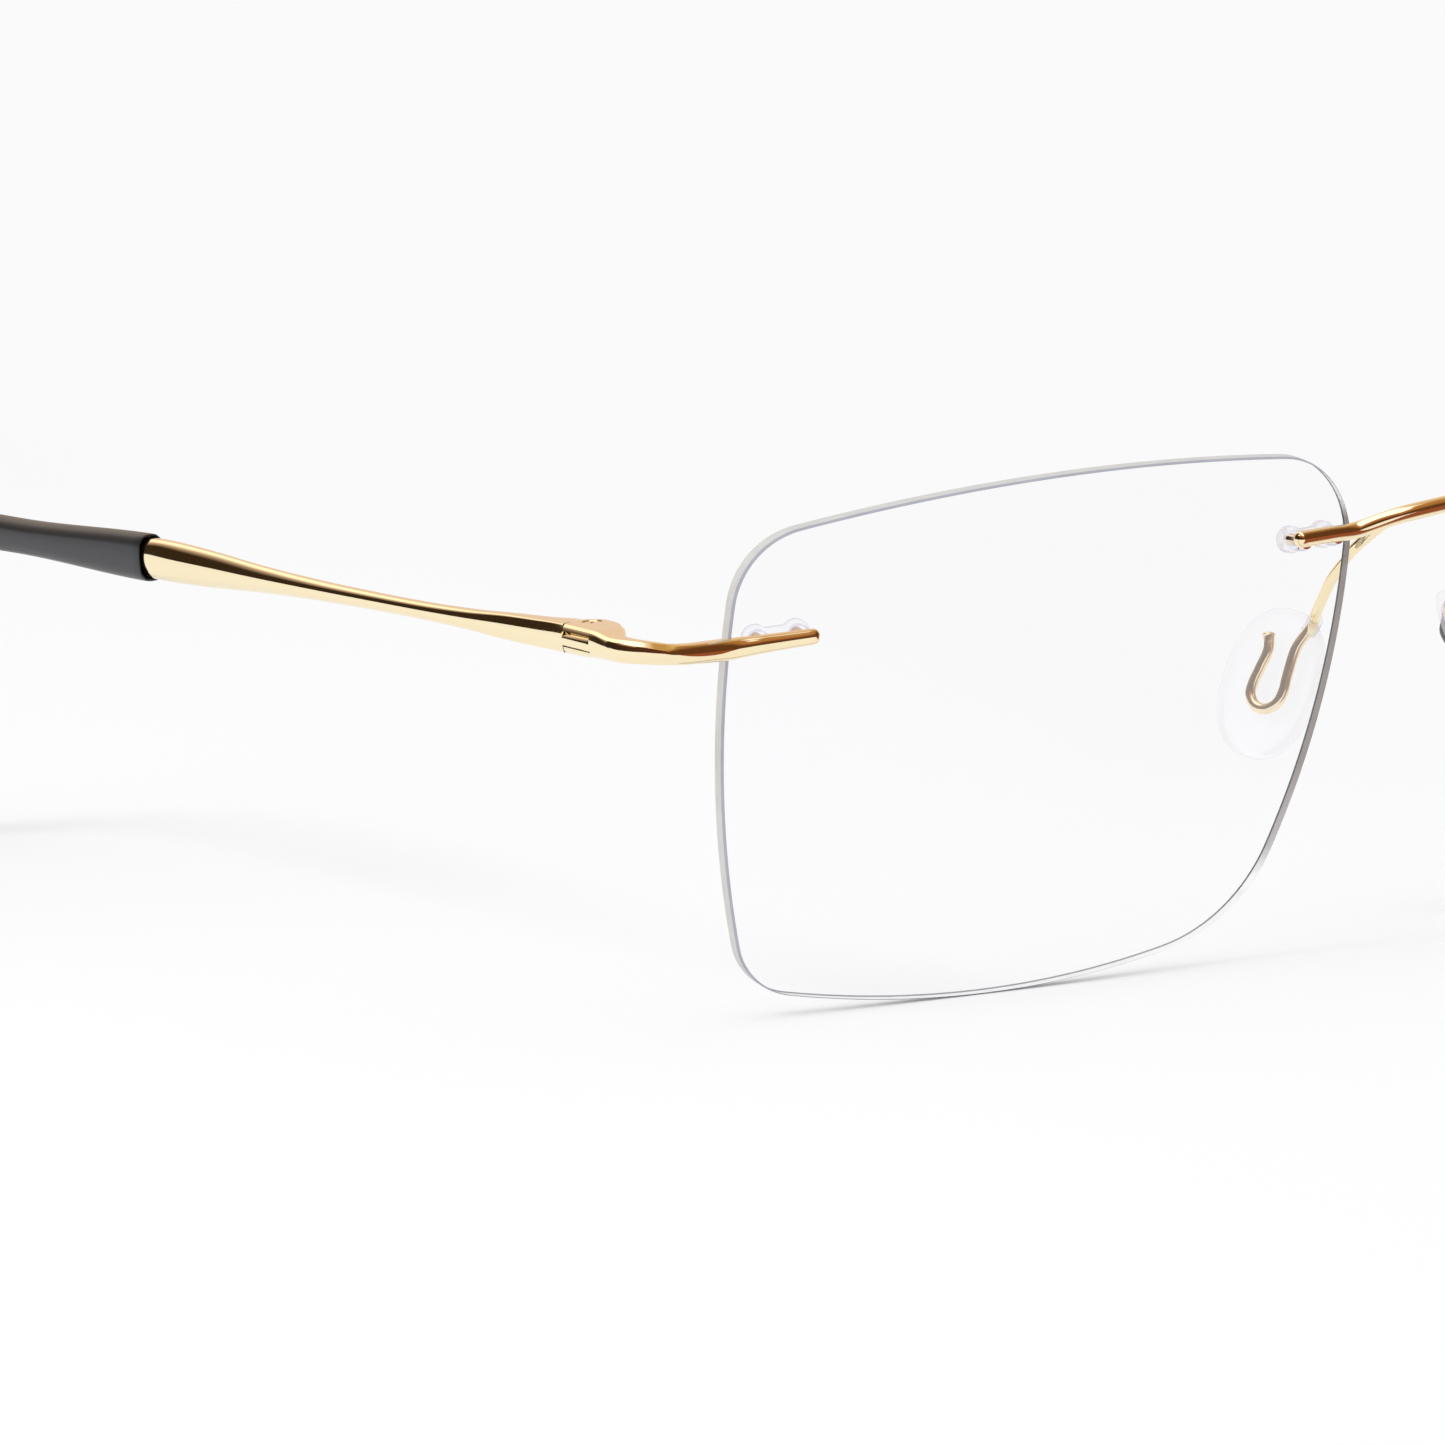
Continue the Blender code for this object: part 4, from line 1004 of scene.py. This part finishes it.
def knuckle_outline():
    """In plan about the pivot: the round part of the tongue and its root in the temple."""
    inner = HINGE_OUTER_X - PIVOT.x + TONGUE_STRIP
    radius = TONGUE_RADIUS
    start = atan2(-sqrt(radius**2 - inner**2), inner)
    outline = [(inner - 0.4, SHOULDER + 1.0), (inner - 0.4, -1.0)]
    for i in range(ARC_STEPS + 1):
        angle = start * (1 - i / ARC_STEPS)
        outline.append((radius * cos(angle), radius * sin(angle)))
    return outline + [(radius * cos(0.6), radius * sin(0.6)), (0.6, SHOULDER - 0.1), (0.4, SHOULDER + 1.0)]


def strip_rings():
    """The tongue's outer strip, flush with the fork, with a wide bevel along its top and a round front."""
    low, high = SLOT_BOTTOM_Z + STRIP_SLACK, SLOT_TOP_Z - STRIP_SLACK
    front = PIVOT.y - SLOT_REACH + 0.06
    back = PIVOT.y + SHOULDER + 1.0
    wide = (TONGUE_STRIP - 2 * TONGUE_SETBACK) / 2
    middle_x, middle_z = HINGE_OUTER_X + TONGUE_SETBACK + wide, (low + high) / 2
    half = (high - low) / 2
    section = [
        (wide, -half),
        (wide, half),
        (STRIP_BEVEL - wide, half),
        (0.3 - wide, half - 0.03),
        (0.03 - wide, half - 0.3),
        (-wide, half - STRIP_BEVEL),
        (-wide - TONGUE_SETBACK, 0),
        (-wide, 0.12 - half),
        (0.12 - wide, -half),
    ]
    rings = []
    for i in range(11):
        angle = pi / 2 * i / 10
        share = 0.7 + 0.3 * sin(angle)
        x = middle_x + wide * 0.3 * (1 - share)
        y = front + STRIP_ROUND * (1 - cos(angle))
        rings.append([Vector((x + a * share, y, middle_z + b)) for a, b in section])
    rings.append([Vector((middle_x + a, back, middle_z + b)) for a, b in section])
    return rings


def corner_bevel():
    """A cut that takes the top outer corner off the temple's end."""
    seam = radians(SEAM_ANGLE)
    corner = Vector((HINGE_OUTER_X, PIVOT.y + 0.26, HINGE_TOP_Z))
    inward = Vector((sin(seam), -cos(seam), 0)) * -1
    out = Vector((-0.5, -0.5, 0.707)).normalized()
    place = placement(corner - out * 0.27, inward, out)
    return prism(rectangle(-1, 1, -1, 1), place, 0, 1)


def temple(side, mirror):
    """The bar, cut back along the fork's slanted end, with the tongue joined on and bored for the screw."""
    rings = []
    for distance, height, width, bow, top, corner in along(TEMPLE_KEYS, KEY_STEPS):
        centre = temple_centre(distance, width)
        square = bowed(width / 2, height / 2, (bow * 0.5, top, bow, max(top, 0.12)), corner)
        rings.append([centre + Vector((a, 0, b)) for a, b in square])
    obj = new_piece(f"{side}_temple_bar", skin(rings), [GOLD], mirror, HINGE_SHARP)
    facing = HINGE @ Matrix.Rotation(radians(SEAM_ANGLE), 4, "Z")
    before = prism(rectangle(-8, SHOULDER + SEAM_GAP, -8, 8), facing, BELOW, ABOVE)
    knuckle = prism(knuckle_outline(), HINGE, SLOT_BOTTOM_Z + TONGUE_SLACK, SLOT_TOP_Z - TONGUE_SLACK)
    steps = (
        ("DIFFERENCE", before),
        ("DIFFERENCE", corner_bevel()),
        ("UNION", knuckle),
        ("UNION", skin(strip_rings())),
        ("DIFFERENCE", cylinder(HINGE, SCREW_HOLE_RADIUS, BELOW, ABOVE)),
    )
    for operation, body in steps:
        combine(obj, operation, body, mirror, HINGE_SHARP)
    stand_for(obj, f"{side}_temple", f"{side}_temple_body")


def tip_line():
    """The middle of the tip: straight on from the temple, round the ear bend, and down to the table."""
    width = TIP_SECTIONS[0][2]
    start = temple_centre(TEMPLE_LENGTH + TIP_GAP, width) - Vector((TIP_PROUD, 0, 0))
    bend = temple_centre(TIP_BEND_START, width) - Vector((TIP_PROUD, 0, TIP_DROP))
    forward = (bend - start).normalized()
    down = forward.cross(forward.cross(Vector((0, 0, 1))).normalized())
    angle = radians(TIP_BEND_ANGLE)
    line = [start.lerp(bend, i / LEG_STEPS) for i in range(LEG_STEPS)]
    for i in range(BEND_STEPS + 1):
        turn = angle * i / BEND_STEPS
        line.append(bend + (forward * sin(turn) + down * (1 - cos(turn))) * TIP_BEND_RADIUS)
    heading = forward * cos(angle) + down * sin(angle)
    corner = line[-1]
    drop = (corner.z - TIP_END_Z) / -heading.z
    return line + [corner + heading * drop * i / LEG_STEPS for i in range(1, LEG_STEPS + 1)]


def between(table, at):
    """The table's numbers at a place between two of its rows, with a smooth step from one to the next."""
    for low, high in zip(table, table[1:]):
        if at <= high[0]:
            t = (at - low[0]) / (high[0] - low[0])
            t = t * t * (3 - 2 * t)
            return [a + (b - a) * t for a, b in zip(low[1:], high[1:])]
    return list(table[-1][1:])


def temple_tip(side, mirror):
    """The sleeve's mouth is hollow, and the temple enters it with a dark gap round it."""
    line = tip_line()
    run = [0.0, *accumulate((after - before).length for before, after in zip(line, line[1:]))]
    outlines = []
    for at in run:
        height, thickness = between(TIP_SECTIONS, at / run[-1])
        outlines.append(bowed(thickness / 2, height / 2, TIP_BOWS, TIP_CORNER))
    rings = loft(line, outlines, nose_end=TIP_NOSE)
    forward = (line[1] - line[0]).normalized()
    mouth = []
    for shrink, back in TIP_MOUTH:
        mouth.append([line[0] + (point - line[0]) * shrink + forward * back for point in rings[0]])
    obj = new_piece(f"{side}_tip_sleeve", skin(mouth + rings[1:]), [BLACK], mirror, ROUND_SHARP)
    stand_for(obj, f"{side}_temple_tip", f"{side}_temple_body")


# ---- Studio

BACKGROUND = (0.955, 0.955, 0.96)
MIRRORED_SOFTBOX = (1.5, 1.49, 1.47, 1)
# The painted reflection that metal sees, by share of a turn: 0 and 1 are the front, 0.25 is -X, 0.5 the back
# and 0.75 is +X.
MIRRORED_WALLS = ((0.0, (0.11, 0.030, 0.012)), (0.20, (0.05, 0.022, 0.012)), (0.34, (0.030, 0.018, 0.010)),
         (0.425, (0.035, 0.020, 0.010)), (0.47, (0.80, 0.60, 0.46)), (0.62, (0.84, 0.66, 0.52)),
         (0.70, (0.40, 0.22, 0.10)), (0.78, (0.12, 0.045, 0.015)))
MIRRORED_GLOW = ((0.0, (0.45, 0.20, 0.07)), (0.20, (0.45, 0.22, 0.08)), (0.44, (0.20, 0.10, 0.05)),
        (0.47, (1.3, 1.2, 1.0)), (0.53, (1.3, 1.2, 1.0)), (0.58, (0.80, 0.60, 0.45)),
        (0.66, (0.62, 0.40, 0.16)), (0.75, (0.40, 0.19, 0.045)), (1.0, (0.45, 0.20, 0.07)))
# Where the softbox begins, as a share of the way from the horizon to straight up
ROOF = ((0.0, 0.53), (0.15, 0.66), (0.45, 0.66), (0.49, 0.44), (0.62, 0.84), (0.90, 0.84), (1.0, 0.53))

TABLE_RADIUS = 9.0
TABLE_LEVEL = -0.00006
# The dark red patch that metal sees on the table, a painted reflection: it lies across and in front from
# these places
MIRRORED_PATCH_DIRECTION = (0.966, 0.259)
MIRRORED_PATCH_START = -0.028
MIRRORED_PATCH_FRONT = -0.012
MIRRORED_PATCH_TONE = (0.30, 0.085, 0.04, 1)


def studio_world():
    """White for the camera and soft light; polished metal mirrors a painted reflection: a softbox above dark
    and warm walls that nothing else sees.
    """
    world = bpy.data.worlds.new("studio")
    bpy.context.scene.world = world
    nodes = Nodes(world)
    direction = nodes.add("TexCoord").outputs["Generated"]
    x, y, z = nodes.put(nodes.add("SeparateXYZ"), Vector=direction).outputs
    height = nodes.math("DIVIDE", nodes.math("ARCSINE", z), pi / 2)
    turn = nodes.math("ADD", nodes.math("DIVIDE", nodes.math("ARCTAN2", x, y), 2 * pi), 0.5)
    walls = nodes.ramp(turn, MIRRORED_WALLS)
    glow = nodes.ramp(turn, MIRRORED_GLOW)
    roof = nodes.ramp(turn, [(place, (level, level, level)) for place, level in ROOF])
    rim = nodes.math("SUBTRACT", height, roof)
    colour = nodes.mix_colour(nodes.fade(rim, -0.36, 4.5), walls, glow)
    colour = nodes.mix_colour(nodes.fade(rim, -0.03, 16.0), colour, MIRRORED_SOFTBOX)
    colour = nodes.mix_colour(nodes.fade(height, -0.02, -60.0), colour, (*BACKGROUND, 1))
    mirrored = nodes.output("Background", Color=colour, Strength=1.0)
    plain = nodes.output("Background", Color=(*BACKGROUND, 1), Strength=1.0)
    nodes.finish(nodes.mix_shader(nodes.in_mirror(), plain, mirrored), "World")


def floor():
    """A white table that turns into the plain background away from the glasses, and behind the left temple,
    where this painted light hides that temple's shadow.
    """
    nodes = Nodes(bpy.data.materials.new("white_table"))
    position = nodes.add("NewGeometry").outputs["Position"]
    length = nodes.put(nodes.add("VectorMath", operation="LENGTH"), i0=position)
    x, y, _ = nodes.put(nodes.add("SeparateXYZ"), Vector=position).outputs
    # Painted light: behind the left temple the table glows as plain background, so no shadow shows there.
    behind = nodes.math("MULTIPLY", nodes.fade(x, 0.02, 30.0), nodes.fade(y, -0.01, 30.0))
    far = nodes.math("MAXIMUM", nodes.fade(length.outputs["Value"], 0.3, 4.0), behind)
    tone = nodes.mix_colour(nodes.noise(3.0), (0.93, 0.93, 0.935, 1), (0.94, 0.94, 0.944, 1))
    table = nodes.output("BsdfDiffuse", Color=tone)
    seen = nodes.mix_shader(far, table, nodes.output("Emission", Color=(*BACKGROUND, 1)))
    # Painted reflection: a dark red patch on the table that only mirrored rays see.
    depth = nodes.math("ADD", y, ORIGIN_Y * MM)
    rightward = nodes.math("MULTIPLY", x, MIRRORED_PATCH_DIRECTION[0])
    across = nodes.math("ADD", rightward, nodes.math("MULTIPLY", depth, MIRRORED_PATCH_DIRECTION[1]))
    beside = nodes.fade(across, MIRRORED_PATCH_START, 200.0)
    before = nodes.fade(y, MIRRORED_PATCH_FRONT - ORIGIN_Y * MM, -60.0)
    painted_reflection = nodes.math("MULTIPLY", nodes.math("MULTIPLY", beside, before), nodes.in_mirror())
    look = nodes.finish(nodes.mix_shader(painted_reflection, seen, nodes.output("Emission", Color=MIRRORED_PATCH_TONE)))
    mesh = bpy.data.meshes.new("table")
    rim = circle(TABLE_RADIUS, 96)
    mesh.from_pydata([(x, y, TABLE_LEVEL) for x, y in rim], [], [list(range(len(rim)))])
    mesh.materials.append(look)
    obj = bpy.data.objects.new("table", mesh)
    bpy.context.scene.collection.objects.link(obj)


def key_light():
    data = bpy.data.lights.new("key", "AREA")
    data.shape = "DISK"
    data.size = 0.22
    data.energy = 0.78
    data.color = (1.0, 0.995, 0.985)
    obj = bpy.data.objects.new("key", data)
    obj.location = (-0.52, -0.08, 0.56)
    obj.rotation_euler = (Vector((-0.03, -0.06, 0)) - obj.location).to_track_quat("-Z", "Y").to_euler()
    obj.visible_glossy = False
    bpy.context.scene.collection.objects.link(obj)


def camera():
    """A long lens from the front of the wearer's right side, a little above the table."""
    turn, rise, roll = radians(-27.96), radians(8.66), radians(-2.25)
    back = Vector((sin(turn) * cos(rise), -cos(turn) * cos(rise), sin(rise)))
    right = Vector((cos(turn), sin(turn), 0))
    up = back.cross(right)
    rolled_right = right * cos(roll) + up * sin(roll)
    rolled_up = up * cos(roll) - right * sin(roll)
    data = bpy.data.cameras.new("camera")
    data.sensor_width = 36
    data.lens = 226.3
    data.shift_x = -0.2120
    data.shift_y = -0.0018
    data.clip_start = 0.01
    obj = bpy.data.objects.new("camera", data)
    obj.matrix_world = Matrix((rolled_right, rolled_up, back)).transposed().to_4x4()
    obj.location = Vector((-354.8, -597.5 - ORIGIN_Y, 124.4)) * MM
    bpy.context.scene.collection.objects.link(obj)
    bpy.context.scene.camera = obj


def build():
    bridge()
    for side, mirror in SIDES:
        lens(side, mirror)
        for site, mount in (("temporal", TEMPORAL_MOUNT), ("nasal", NASAL_MOUNT)):
            sleeve(side, site, mount, mirror)
            posts(side, site, mount, mirror)
        pad_arm(side, mirror)
        nose_pad(side, mirror)
        end_piece(side, mirror)
        hinge_screw(side, mirror)
        temple(side, mirror)
        temple_tip(side, mirror)


build()
studio_world()
floor()
key_light()
camera()
bpy.context.scene.view_settings.view_transform = "Standard"
